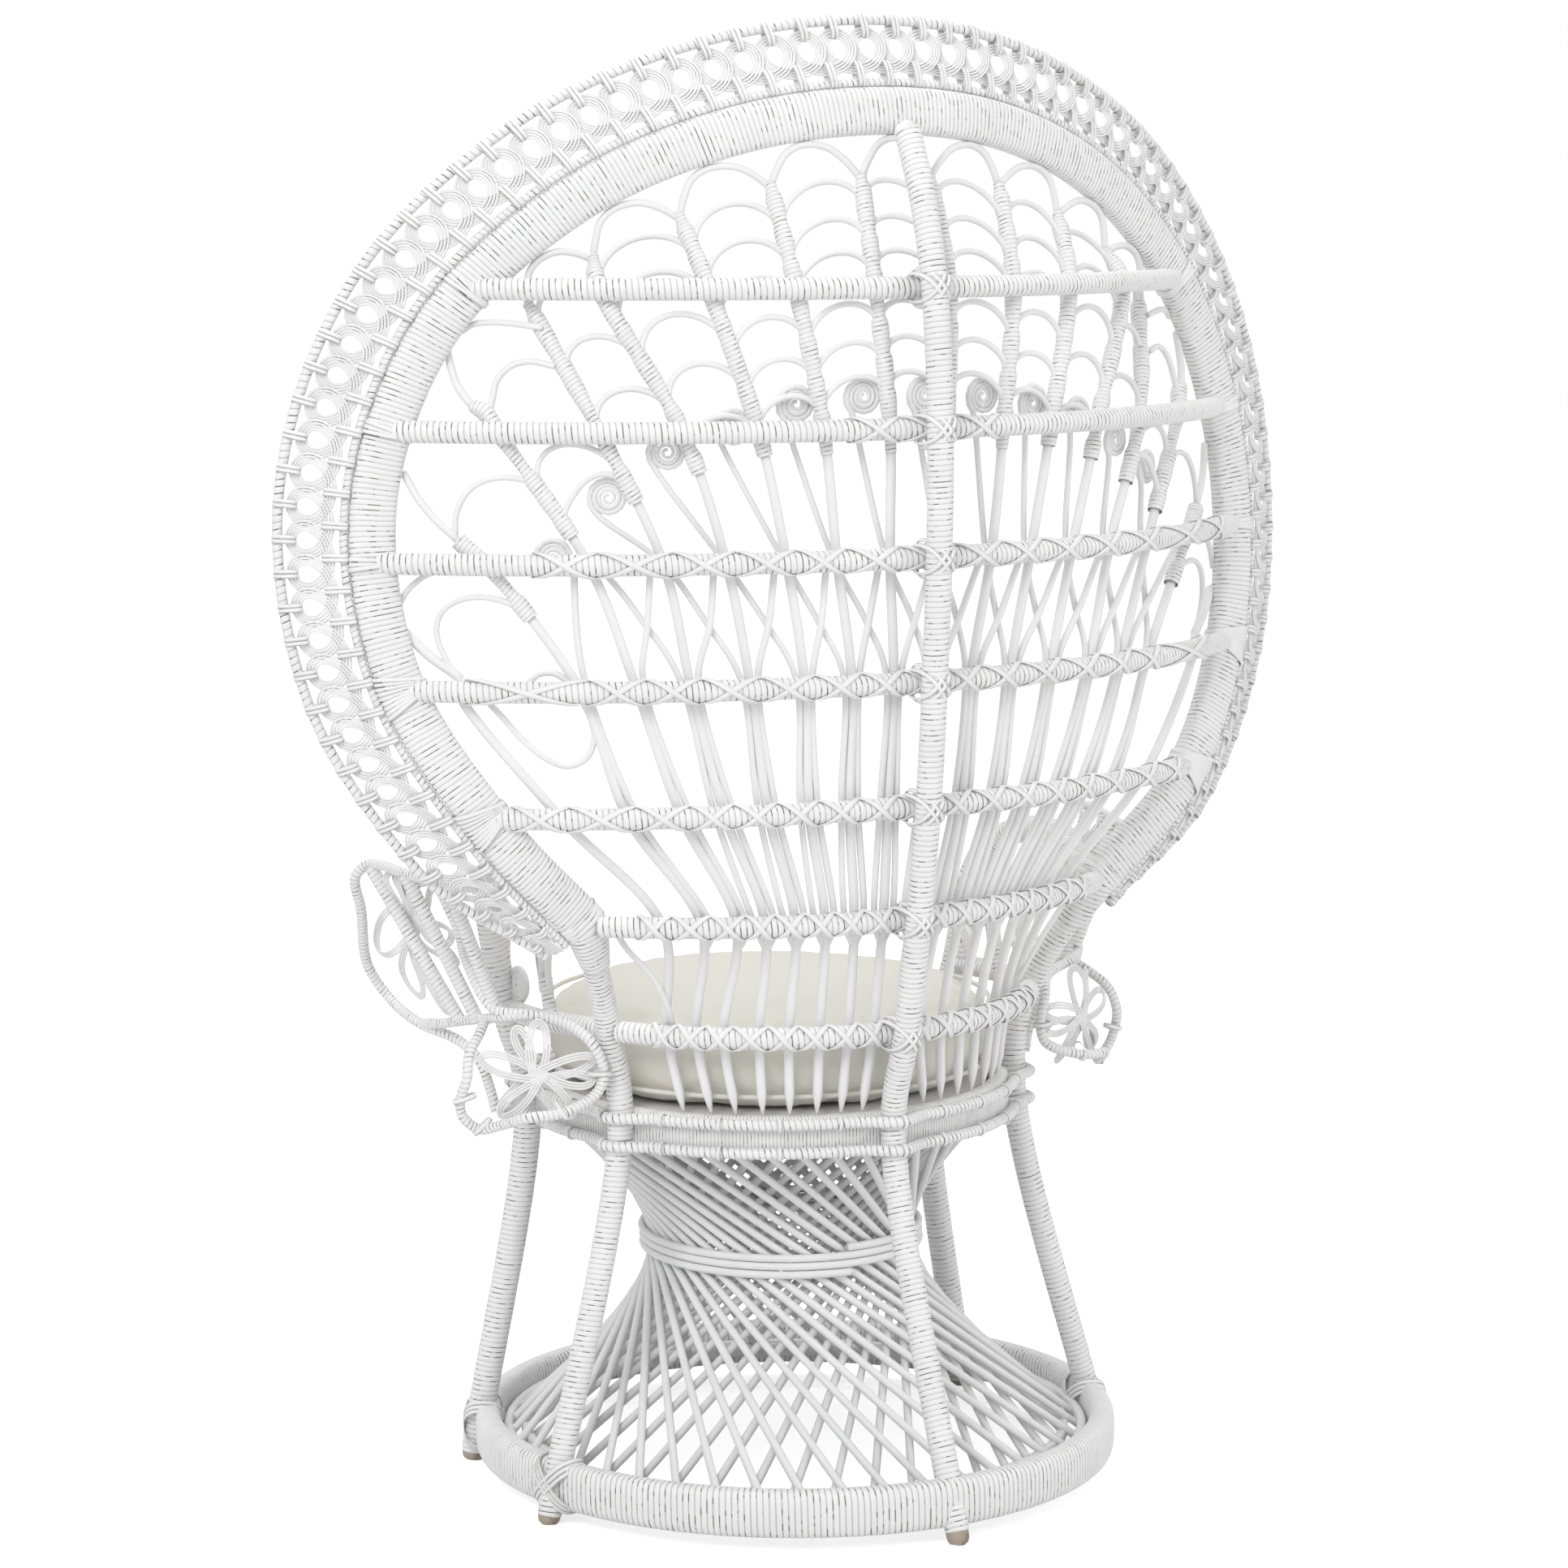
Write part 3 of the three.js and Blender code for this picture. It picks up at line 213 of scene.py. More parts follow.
# %% A strip wound round a pole, and a tie
ACROSS_WRAP = np.array([0.0, 0.2, 0.8])
WRAP_PHASE, DENT_LEAST, DENT_SPREAD = 0.3, 0.7, 0.6


def wrapped(weave, path, half, pitch=4.6, sides=14, frames=None, power=2, closed=False, groove=0.55, look=0):
    """A pole under one flat strip that winds round it in a close helix, with a crevice between the turns."""
    path = np.asarray(path, float)
    beside, over = frames if frames is not None else turning(path, closed=closed)
    a, b = halves(half, len(path))
    if closed:
        path, beside, over = (np.vstack([p, p[:1]]) for p in (path, beside, over))
        a, b = (np.append(size, size[0]) for size in (a, b))
    run = lengths(path)
    turns = run[-1] / pitch
    if closed:
        turns = max(1, round(turns))
        pitch = run[-1] / turns
    count = turns * sides if closed else int(math.ceil((turns + 1) * sides))
    rows = count if closed else count + sides
    k = np.arange(rows)
    raw = (k[:, None] / sides + ACROSS_WRAP - (0 if closed else 1)) * pitch
    s = raw % run[-1] if closed else np.clip(raw, 0, run[-1])
    pick = lambda values: np.interp(s, run, values)
    pick_places = lambda values: np.stack([pick(values[:, c]) for c in range(3)], -1)
    x, y = section(2 * np.pi * k / sides + WRAP_PHASE, power)
    dent = np.array([groove, 0, 0]) * (DENT_LEAST + DENT_SPREAD * chance.random((rows, 1)))
    wide = pick_places(beside) * ((pick(a) - dent) * x[:, None])[..., None]
    high = pick_places(over) * ((pick(b) - dent) * y[:, None])[..., None]
    places = pick_places(path) + wide + high
    columns = len(ACROSS_WRAP)
    k = np.arange(count if closed else count - 1)
    vertex = lambda row, column: (row % rows) * columns + column
    ahead = lambda row: vertex(row + sides, 0)
    quads, uvs = [], []
    round_step = np.pi * float(np.mean(a + b)) * MM / sides
    marks = [*ACROSS_WRAP, 1.0]
    for j in range(columns):
        far = (lambda row: vertex(row, j + 1)) if j + 1 < columns else ahead
        quads.append(np.stack([vertex(k, j), far(k), far(k + 1), vertex(k + 1, j)], -1))
        u = np.stack([k, k, k + 1, k + 1], -1) * round_step
        v = np.broadcast_to([marks[j], marks[j + 1], marks[j + 1], marks[j]], u.shape)
        uvs.append(np.stack([u, v], -1))
    quads, uvs = np.concatenate(quads), np.concatenate(uvs)
    if not closed:
        reach = s.reshape(-1)[quads]
        spans = (reach.max(1) > 0) & (reach.min(1) < run[-1])
        quads, uvs = quads[spans], uvs[spans]
    weave.add(places, quads, uvs, look)


def strip_round(weave, path, half, out, look):
    """A closed flat strip along a path, whose thickness stands out from what it ties."""
    along = unit(np.roll(path, -1, 0) - np.roll(path, 1, 0))
    strand(weave, path, half, sides=6, frames=(out, np.cross(along, out)), power=3, closed=True, look=look)


def lash(weave, centre, far, thick, reach, depth, width, strip=0.7, power=2.6, steps=20, look=0):
    """A flat strip tied once round something: far and thick are square directions in the plane of the tie."""
    far, thick = unit(np.asarray(far, float)), unit(np.asarray(thick, float))
    x, y = section(2 * np.pi * np.arange(steps) / steps, power)
    path = centre + far * (reach * x)[:, None] + thick * (depth * y)[:, None]
    across = np.broadcast_to(np.cross(far, thick), path.shape)
    strip_round(weave, path, (width / 2, strip), across, look)


print("a weave is ready to take strands")

# %% [markdown]
# ## White paint over cane
# The paint is a satin white. The gaps between wraps get thin broken dark lines, which are painted shade in
# the crevices. One node group makes them from U and V of each strip. A painted picture would blur, and
# U and V come free.

# %% A helper for node trees
def put(tree, kind, inputs=None, **settings):
    """A new node: settings are its own properties, and inputs are values or sockets to link."""
    made = tree.nodes.new(kind)
    for key, value in settings.items():
        setattr(made, key, value)
    for key, value in (inputs or {}).items():
        if isinstance(value, bpy.types.NodeSocket):
            tree.links.new(value, made.inputs[key])
        else:
            made.inputs[key].default_value = value
    return made


def maths(tree, operation, a, b=0.0, clamp=False):
    return put(tree, "ShaderNodeMath", {0: a, 1: b}, operation=operation, use_clamp=clamp).outputs[0]


def remap(tree, value, start, end, low, high):
    """A value brought from start and end to low and high."""
    return put(tree, "ShaderNodeMapRange", {0: value, 1: start, 2: end, 3: low, 4: high}).outputs[0]


def noise(tree, place, scale, detail=2.0):
    return put(tree, "ShaderNodeTexNoise", {"Vector": place, "Scale": scale, "Detail": detail}).outputs[0]


def blended(tree, share, colour, other, way="MIX"):
    """One colour mixed with another, or multiplied by it."""
    inputs = {0: share, 6: colour, 7: other}
    return put(tree, "ShaderNodeMix", inputs, data_type="RGBA", blend_type=way).outputs[2]


def new_group(name, inputs, outputs):
    group = bpy.data.node_groups.new(name, "ShaderNodeTree")
    for label, kind, value in inputs:
        socket = group.interface.new_socket(label, in_out="INPUT", socket_type="NodeSocket" + kind)
        socket.default_value = value
    for label, kind in outputs:
        group.interface.new_socket(label, in_out="OUTPUT", socket_type="NodeSocket" + kind)
    return group, put(group, "NodeGroupInput").outputs, put(group, "NodeGroupOutput").inputs


# %% Broken dark lines between the wraps, painted shade in the crevices
WHITE = (0.85, 0.85, 0.85, 1)
# The dark brown colour below is painted shade for the crevices between wraps.
CREVICE_SHADE = (0.085, 0.075, 0.065, 1)

crevices, given, out = new_group(
    "Crevices between wraps",
    [
        ("Colour", "Color", WHITE), ("Crevice shade colour", "Color", CREVICE_SHADE), ("Line", "Float", 0.25),
        ("Dashes", "Float", 0.5),
    ],
    [("Colour", "Color"), ("Mask", "Float"), ("Height", "Float")],
)
EDGE_OUTER, EDGE_INNER = 0.13, 0.03
PATCH_SCALE, PATCH_LOW, PATCH_HIGH = 95.0, 0.54, 0.6
TINT_SCALE, TINT_DARKEST = 14.0, 0.94
uv = put(crevices, "ShaderNodeUVMap", uv_map="UVMap").outputs[0]
split = put(crevices, "ShaderNodeSeparateXYZ", {0: uv}).outputs
# Both edges of each strip get painted shade: a thin dark line, deeper in noisy patches.
edge = maths(crevices, "MINIMUM", split[1], maths(crevices, "SUBTRACT", 1.0, split[1]))
line = remap(crevices, edge, EDGE_OUTER, EDGE_INNER, 0.0, 1.0)
where = put(crevices, "ShaderNodeTexCoord").outputs["Object"]
dash = remap(crevices, noise(crevices, where, PATCH_SCALE), PATCH_LOW, PATCH_HIGH, 0.0, 1.0)
dashes = maths(crevices, "MULTIPLY", dash, given["Dashes"])
amount = maths(crevices, "ADD", given["Line"], dashes, clamp=True)
mask = maths(crevices, "MULTIPLY", line, amount, clamp=True)
shade = remap(crevices, noise(crevices, where, TINT_SCALE, 3.0), 0.3, 0.7, TINT_DARKEST, 1.0)
toned = blended(crevices, 1.0, given["Colour"], shade, "MULTIPLY")
mixed = blended(crevices, mask, toned, given["Crevice shade colour"])
crevices.links.new(mixed, out["Colour"])
crevices.links.new(mask, out["Mask"])
crevices.links.new(maths(crevices, "SUBTRACT", 1.0, line), out["Height"])
print("crevice group has", len(crevices.nodes), "nodes")

# %% Fibres that run along a strip, and brushed paint
fibres, given, out = new_group(
    "Cane fibres",
    [("Along", "Float", 60.0), ("Across", "Float", 9.0)],
    [("Height", "Float"), ("Roughness", "Float")],
)
DRIFT_SCALE, DRIFT, SPREAD_SCALE = 30.0, 6.0, 260.0
SMOOTHEST, ROUGHEST = 0.42, 0.66
uv = put(fibres, "ShaderNodeUVMap", uv_map="UVMap").outputs[0]
split = put(fibres, "ShaderNodeSeparateXYZ", {0: uv}).outputs
where = put(fibres, "ShaderNodeTexCoord").outputs["Object"]
grain_at = put(fibres, "ShaderNodeCombineXYZ", {
    0: maths(fibres, "MULTIPLY", split[0], given["Along"]),
    1: maths(fibres, "MULTIPLY", split[1], given["Across"]),
    2: maths(fibres, "MULTIPLY", noise(fibres, where, DRIFT_SCALE), DRIFT),
}).outputs[0]
grain = noise(fibres, grain_at, 1.0, 3.0)
spread = noise(fibres, where, SPREAD_SCALE)
fibres.links.new(maths(fibres, "ADD", grain, maths(fibres, "MULTIPLY", spread, 0.5)), out["Height"])
fibres.links.new(remap(fibres, spread, 0.0, 1.0, SMOOTHEST, ROUGHEST), out["Roughness"])
print("fibre group has", len(fibres.nodes), "nodes")


# %% Painted finishes from the two groups
FIBRE_SHARE, RELIEF_DEPTH = 0.3, 0.0006


def painted(name, colour=WHITE, line=0.25, dashes=0.5, along=60.0, across=9.0, bump=0.25, dark=CREVICE_SHADE):
    material = bpy.data.materials.new(name)
    material.use_nodes = True
    tree = material.node_tree
    shader = tree.nodes["Principled BSDF"]
    lines = put(tree, "ShaderNodeGroup", node_tree=crevices)
    for key, value in (("Colour", colour), ("Crevice shade colour", dark), ("Line", line), ("Dashes", dashes)):
        lines.inputs[key].default_value = value
    threads = put(tree, "ShaderNodeGroup", node_tree=fibres)
    threads.inputs["Along"].default_value = along
    threads.inputs["Across"].default_value = across
    fibre_height = maths(tree, "MULTIPLY", threads.outputs["Height"], FIBRE_SHARE)
    height = maths(tree, "ADD", fibre_height, lines.outputs["Height"])
    bumps = {"Height": height, "Strength": bump, "Distance": RELIEF_DEPTH}
    relief = put(tree, "ShaderNodeBump", bumps).outputs[0]
    tree.links.new(lines.outputs["Colour"], shader.inputs["Base Color"])
    tree.links.new(threads.outputs["Roughness"], shader.inputs["Roughness"])
    tree.links.new(relief, shader.inputs["Normal"])
    shader.inputs["Specular IOR Level"].default_value = 0.4
    return material


# Line and dashes set how dark the painted shade in the crevices is.
WRAP = painted("painted wrapping cane", line=0.3, dashes=0.9)
PLAIN = {"line": 0.0, "dashes": 0.0, "along": 14.0, "across": 14.0}
# SHADED is the same white made darker: painted shade for parts that lie in shadow.
SHADED = (0.79, 0.79, 0.787, 1)
WORN_BROWN = (0.42, 0.36, 0.29, 1)
# The worn ends' dark colour is painted shade for their crevice lines.
WORN_CREVICE_SHADE = (0.1, 0.07, 0.05, 1)
REED = painted("painted bare reed", bump=0.2, **PLAIN)
STRIP = painted("painted binding strip", line=0.35, dashes=0.2, along=40.0)
FINE = painted("painted close wrapping", line=0.42, dashes=0.95)
SHADE = painted("painted reed in the shade", colour=SHADED, **PLAIN)
WORN = painted("worn leg end", colour=WORN_BROWN, line=0.2, dashes=0.4, dark=WORN_CREVICE_SHADE)
LOOKS = [WRAP, REED, STRIP, FINE, SHADE, WORN]
wrap_look, reed_look, strip_look, fine_look, shade_look, worn_look = range(len(LOOKS))
print("painted finishes:", [look.name for look in LOOKS])

# %% [markdown]
# ## From a weave to a piece
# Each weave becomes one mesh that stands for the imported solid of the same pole, so every solid keeps a
# dressed twin. The mesh is filled straight from arrays. Thousands of curve objects would look alike but
# take minutes to build.

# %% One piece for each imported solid
SEAT_FORWARD = 49.0
deck_low, deck_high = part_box("seat_deck")
shift = (deck_low[1] + deck_high[1]) / 2 / MM + SEAT_FORWARD


def piece(node, weave, name=None):
    """The weave as a mesh in metres that replaces its node, with only the looks that it uses."""
    places = np.concatenate(weave.places)
    quads = np.concatenate(weave.quads)
    used, packed = np.unique(quads, return_inverse=True)
    quads = packed.reshape(quads.shape)
    places = (places[used] + [0, shift, 0]) * MM
    looks, index = np.unique(np.concatenate(weave.looks), return_inverse=True)
    mesh = bpy.data.meshes.new(name or "woven_" + node)
    mesh.vertices.add(len(places))
    mesh.vertices.foreach_set("co", places.ravel())
    mesh.loops.add(quads.size)
    mesh.loops.foreach_set("vertex_index", quads.ravel().astype(np.int32))
    mesh.polygons.add(len(quads))
    mesh.polygons.foreach_set("loop_start", np.arange(0, quads.size, 4, dtype=np.int32))
    mesh.uv_layers.new(name="UVMap").data.foreach_set("uv", np.concatenate(weave.uvs).ravel())
    for look in looks:
        mesh.materials.append(LOOKS[look])
    mesh.polygons.foreach_set("material_index", index.astype(np.int32))
    mesh.update(calc_edges=True)
    mesh.validate()
    mesh.shade_smooth()
    made = bpy.data.objects.new(mesh.name, mesh)
    bpy.context.scene.collection.objects.link(made)
    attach(made, "root")
    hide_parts(node)
    return made


print("working origin lies", round(shift, 3), "mm along Y from the row's")

# %% [markdown]
# ## The back hoop
# A bent pole, flattened into a band 43 mm wide, carries the whole back. It leans back a little and its ends
# come forward to the arms. Its course is one half, given as shares of the hoop's sizes, and the same half
# mirrored.

# %% The hoop's course and its cross directions
def around(centre_y, radius, degrees, z):
    angle = np.radians(degrees)
    return np.stack(np.broadcast_arrays(radius * np.sin(angle), centre_y + radius * np.cos(angle), z), -1)


HALF_WIDTH, HOOP_TOP, HOOP_LOW, HOOP_BACK = 460.0, 1305.5, 565.0, 180.0
BAND_HALF_WIDTH, BAND_HALF_THICK, BAND_TILT = 21.5, 11.0, 10.0
LACE_WIDTH, LACE_FLARE, LACE_LOOPS = 50.0, 44.0, 82
SEAT_RADIUS, HOOP_END_OVERHANG = 239.0, 37.0
CANE_HALF, LACE_EDGE, FIT = 4.0, 2.2, 0.35
HOOP_RISE = HOOP_TOP - HOOP_LOW
hoop_shares = [
    (0, 1, 1, 0.57, 1), (0.322, 0.878, 0.975, 0.61, 1), (0.628, 0.628, 0.891, 0.7, 1),
    (0.876, 0.378, 0.739, 0.82, 1), (0.998, 0.3, 0.535, 0.93, 1), (0.97, 0.411, 0.319, 0.98, 1),
    (0.807, 0.622, 0.136, 1.13, 1),
    ((SEAT_RADIUS + HOOP_END_OVERHANG) / HALF_WIDTH, 0.589, 0.004, 1.4, 0.3),
]
marks = [(x * HALF_WIDTH, y * HOOP_BACK, HOOP_LOW + z * HOOP_RISE) for x, y, z, _, _ in hoop_shares]
leaves = [(flare * LACE_FLARE, width * LACE_WIDTH, 0) for _, _, _, flare, width in hoop_shares]
marks = [(-x, y, z) for x, y, z in marks[:0:-1]] + marks
leaves = leaves[:0:-1] + leaves
HOOP_STEPS = 1360
shares = np.linspace(0, 1, HOOP_STEPS + 1)
hoop_path = course(marks, shares)
leaf = course(leaves, shares)
hoop_along = unit(np.gradient(hoop_path, axis=0))
hoop_outward = unit(np.cross(hoop_along, BACK))


def leaning(outward, degrees):
    angle = np.radians(degrees)[..., None]
    return outward * np.cos(angle) - BACK * np.sin(angle)


hoop_wide = leaning(hoop_outward, np.full(len(shares), BAND_TILT))
hoop_thick = unit(np.cross(hoop_along, hoop_wide))
lace_lean = leaning(hoop_outward, leaf[:, 0]) * leaf[:, 1:2]
lace_rim = unit(np.cross(hoop_along, lace_lean))
LACE_START = BAND_HALF_WIDTH + 2 * (CANE_HALF + FIT) + LACE_EDGE
hoop_counts = np.arange(HOOP_STEPS + 1.0)
print("the hoop is", round(lengths(hoop_path)[-1]), "mm long")


def along_hoop(step, values):
    """Places or directions that belong to the hoop's steps, at any step between them."""
    return np.stack([np.interp(step, hoop_counts, values[:, c]) for c in range(3)], -1)


def hoop_at(share):
    """Place and cross directions of the hoop at a share of its way: 0.5 is the top and 1 the left end."""
    step = np.clip(share, 0, 1) * HOOP_STEPS
    return [along_hoop(step, values) for values in (hoop_path, hoop_wide, hoop_thick, hoop_along)]


def inside_hoop(share, distance):
    """Place inside the hoop's inner edge, at a share of its left half, or of its right if negative."""
    place, wide = hoop_at(0.5 + abs(share) / 2)[:2]
    place = place - wide * (BAND_HALF_WIDTH + distance)
    return place * [1 if share >= 0 else -1, 1, 1]


# %% [markdown]
# ## Rails, posts and ribs have to meet
# The rails are level arcs that bow back to the centre post and end in the hoop. The posts run from the
# floor to the hoop. Working out all the courses first lets each tie find the poles that it holds.

# %% Courses of the posts and rails
FOOT_RADIUS, POST_RADIUS, FRONT_POST_RADIUS, RAIL_RADIUS = 318.0, 12.2, 13.5, 10.3
SEAT_TOP, SEAT_BAND = 381.0, 38.0
SEAT_MIDDLE = SEAT_TOP - SEAT_BAND / 2
BACK_RISE = HOOP_TOP - SEAT_TOP
ARM_RAIL_OVER_HOOP = 32.0
ARM_RAIL_RISE = HOOP_LOW + ARM_RAIL_OVER_HOOP - SEAT_MIDDLE
SPINE_REACH = 270.0
SIDE_SEAT, SIDE_FOOT, FRONT_SEAT, FRONT_FOOT = 64.7, 76.0, 110.0, 118.0
SIDE_BOW = [0.2, 0.04, 0.44]
RAIL_SHARES = (0.7873, 0.6171, 0.4592, 0.3052, 0.1485, 0.0041)
LOW_RAIL_SHARE = 0.4185
foot_at = lambda degrees: around(0, FOOT_RADIUS, degrees, -POST_RADIUS)
seat_at = lambda degrees: around(-SEAT_FORWARD, SEAT_RADIUS, degrees, SEAT_MIDDLE)
spine_shares = [
    (0.796, 0.089), (0.87, 0.201), (0.933, 0.322), (0.972, 0.448), (0.996, 0.568),
    (1, 0.694), (0.96, 0.826), (0.885, 0.91), (0.77, 0.985),
]
spine_marks = [(0, y * SPINE_REACH, SEAT_TOP + z * BACK_RISE) for y, z in spine_shares]
spine = fair([foot_at(0), seat_at(0)] + spine_marks)
hoop_end = hoop_path[-1]
seat = seat_at(SIDE_SEAT)
bow = seat + (hoop_end - seat) * SIDE_BOW
side_post = fair([foot_at(SIDE_FOOT), seat, bow, hoop_end])
front_bends = [
    (1.046, -0.305, 0.349), (1.15, -0.264, 0.838), (1.222, -0.109, 0.97), (1.255, 0.205, 1),
    (1.192, 0.456, 0.928),
]
front_marks = [
    (x * SEAT_RADIUS, -SEAT_FORWARD + y * SEAT_RADIUS, SEAT_MIDDLE + z * ARM_RAIL_RISE)
    for x, y, z in front_bends
]
front_post = fair([foot_at(FRONT_FOOT), seat_at(FRONT_SEAT)] + front_marks + [hoop_end])

rail_heights = [HOOP_LOW + share * HOOP_RISE for share in RAIL_SHARES]
rail_heights.append(SEAT_TOP + LOW_RAIL_SHARE * (HOOP_LOW - SEAT_TOP))
hoop_left = hoop_path[HOOP_STEPS // 2:]
rails = []
for number, z in enumerate(rail_heights, 1):
    end = {6: np.array([hoop_end[0], hoop_end[1], z]), 7: at_height(side_post, z)}.get(number)
    end = at_height(hoop_left[::-1], z) if end is None else end
    middle = at_height(spine, z)[1] - POST_RADIUS - RAIL_RADIUS - FIT
    sag = middle - end[1]
    radius = (end[0] ** 2 + sag**2) / (2 * sag)
    half = math.asin(end[0] / radius)
    rails.append({"z": z, "end": end, "radius": radius, "centre": middle - radius, "half": half})
print("rail heights", [round(z) for z in rail_heights])


def rail_place(rail, share, forward=0.0):
    """Place at a share of a rail's half length, -1 to 1, moved towards the sitter by a distance."""
    radius = rail["radius"] - forward
    x = np.asarray(share) * rail["end"][0]
    return np.stack(np.broadcast_arrays(x, rail["centre"] + np.sqrt(radius**2 - x**2), rail["z"]), -1)


# %% Courses of the ribs
RIB_RADIUS, SIDE_REED, ARCH_REED = 4.6, 3.4, 2.9
RIB_SINK = 0.45 * RIB_RADIUS
CREST_DEPTH = 34.0
rib_shares = [
    (0.059, 0.056, 0.053, 0.047, 0.062, 0.067, 0.102), (0.169, 0.163, 0.157, 0.142, 0.176, 0.212, 0.302),
    (0.287, 0.266, 0.261, 0.245, 0.279, 0.346, 0.503), (0.406, 0.366, 0.364, 0.358, 0.396, 0.492, 0.733),
    (0.515, 0.464, 0.468, 0.476, 0.512, 0.642), (0.636, 0.554, 0.569, 0.58, 0.644, 0.815),
    (0.724, 0.659, 0.689, 0.684, 0.815), (0.811, 0.772, 0.832, 0.896),
]
rib_seat_shares = (0.067, 0.128, 0.194, 0.267, 0.339, 0.411, 0.478, 0.556)
rib_tops = [
    (0.0377, 1.05), (0.1267, 0.92), (0.2138, 0.96), (0.2985, 0.85), (0.365, 0.75), (0.4752, 1.08),
    (0.5913, 1.15), (0.69, 1.1),
]
lumps = (0, 0.0875, 0.1763, 0.2603, 0.335, 0.4272, 0.5415, 0.64)
RIB_OFFSET = RAIL_RADIUS + RIB_RADIUS + FIT
rails_up = rails[::-1]


def back_place(x, z):
    """Place on the curved sheet in which the ribs lie, in front of the rails."""
    heights = [rail["z"] for rail in rails_up]
    centre, radius = (np.interp(z, heights, [rail[key] for rail in rails_up]) for key in ("centre", "radius"))
    radius = radius - RIB_OFFSET
    return np.array([x, centre + math.sqrt(radius**2 - x**2), z])


# The outer ribs run on to the hoop as plain reeds
rib_ends = {
    6: [(370, 1039), (378, 1045), (386, 1060), (389, 1076), (390, 1094)],
    7: [(390, 919), (398, 929), (410, 943), (422, 963), (430, 984)],
    8: [(394, 799), (417, 821), (434, 842)],
}
BAND_MIDDLE = 222.9
rib_paths = {}
for index, crossings in enumerate(rib_shares):
    start = around(-SEAT_FORWARD, BAND_MIDDLE, 90 * rib_seat_shares[index], SEAT_TOP + FIT + RIB_SINK)
    share, depth = rib_tops[index]
    axis = [start] + [rail_place(rails[6 - k], x, RIB_OFFSET) for k, x in enumerate(crossings)]
    ends = [back_place(*row) for row in rib_ends.get(index + 1, [])]
    ends = ends or [inside_hoop(share, depth * CREST_DEPTH)]
    path = fair(axis + ends)
    rib_paths[index + 1] = path
    rib_paths[-index - 1] = on_side(path, -1)


def rib_at(rib, z):
    return at_height(rib_paths[rib], z)


def next_rib(rib, steps):
    moved = rib + steps
    return moved if rib * moved > 0 else moved + int(math.copysign(1, steps))


def inward_at(place):
    rail = min(rails, key=lambda one: abs(one["z"] - place[2]))
    return unit(np.array([-place[0], rail["centre"] - place[1], 0.0]))


def across_at(place):
    inward = inward_at(place)
    return np.array([-inward[1], inward[0], 0.0])


def between(rib, other, share, z, depth):
    a, b = rib_at(rib, z), rib_at(other, z)
    place = a + (b - a) * share
    return place + inward_at(place) * depth


def beside_rib(rib, z, offset):
    place = rib_at(rib, z)
    across = across_at(place)
    slope = unit(rib_at(rib, z + RIB_RADIUS) - rib_at(rib, z - RIB_RADIUS)) @ across
    return place + across * offset / math.sqrt(1 - slope**2)


print("ribs", len(rib_paths), "from", np.round(rib_paths[1][0]), "to", np.round(rib_paths[1][-1]))

# %% [markdown]
# ## Wrapping the hoop
# The strip winds straight across the band, so its edges make fine lines along the outline. Where a rail
# ends, extra turns fan out from it and hold it. They are separate ties laid over the main wrapping, as on
# the real chair.

# %% The wrapped hoop with its fans
HOOP_PITCH, HOOP_POWER = 4.7, 3.2
FAN_STEPS, FAN_SPACING, FAN_PINCH = 26, 4.7, 0.18
FAN_LIFT, FAN_LIFT_MORE, FAN_STRIP = 1.0, 0.12, (2.5, 0.8)
FAN_TURNS = {4: 4, 5: 4}
hoop = Weave()
wrapped(hoop, hoop_path, (BAND_HALF_WIDTH, BAND_HALF_THICK), pitch=HOOP_PITCH, sides=26,
        frames=(hoop_wide, hoop_thick), power=HOOP_POWER, groove=0.7)


def hoop_share_at(z):
    """Share of the hoop's way at which its left half comes down through a height."""
    i = np.nonzero(hoop_left[:, 2] <= z)[0]
    return 0.5 + (i[0] if len(i) else len(hoop_left) - 1) / HOOP_STEPS


x, y = section(2 * np.pi * np.arange(FAN_STEPS) / FAN_STEPS, 3.0)
for number, rail in enumerate(rails[:5], 1):
    place, wide, thick, along = hoop_at(hoop_share_at(rail["z"]))
    turns = FAN_TURNS.get(number, 1)
    for side in (1, -1):
        for turn in range(-turns, turns + 1):
            spread = turn * FAN_SPACING * (FAN_PINCH + (1 - FAN_PINCH) * (1 + x) / 2)
            lift = FAN_LIFT + FAN_LIFT_MORE * abs(turn)
            path = (place + wide * ((BAND_HALF_WIDTH + lift) * x)[:, None]
                    + thick * ((BAND_HALF_THICK + lift) * y)[:, None] + along * spread[:, None])
            path = on_side(path, side)
            step = unit(np.roll(path, -1, 0) - np.roll(path, 1, 0))
            out = unit(np.cross(step, on_side(along, side)))
            strand(hoop, path, FAN_STRIP, sides=6, frames=(np.cross(out, step), out), power=3, closed=True,
                   look=wrap_look)
print("hoop quads with fans", sum(map(len, hoop.quads)))

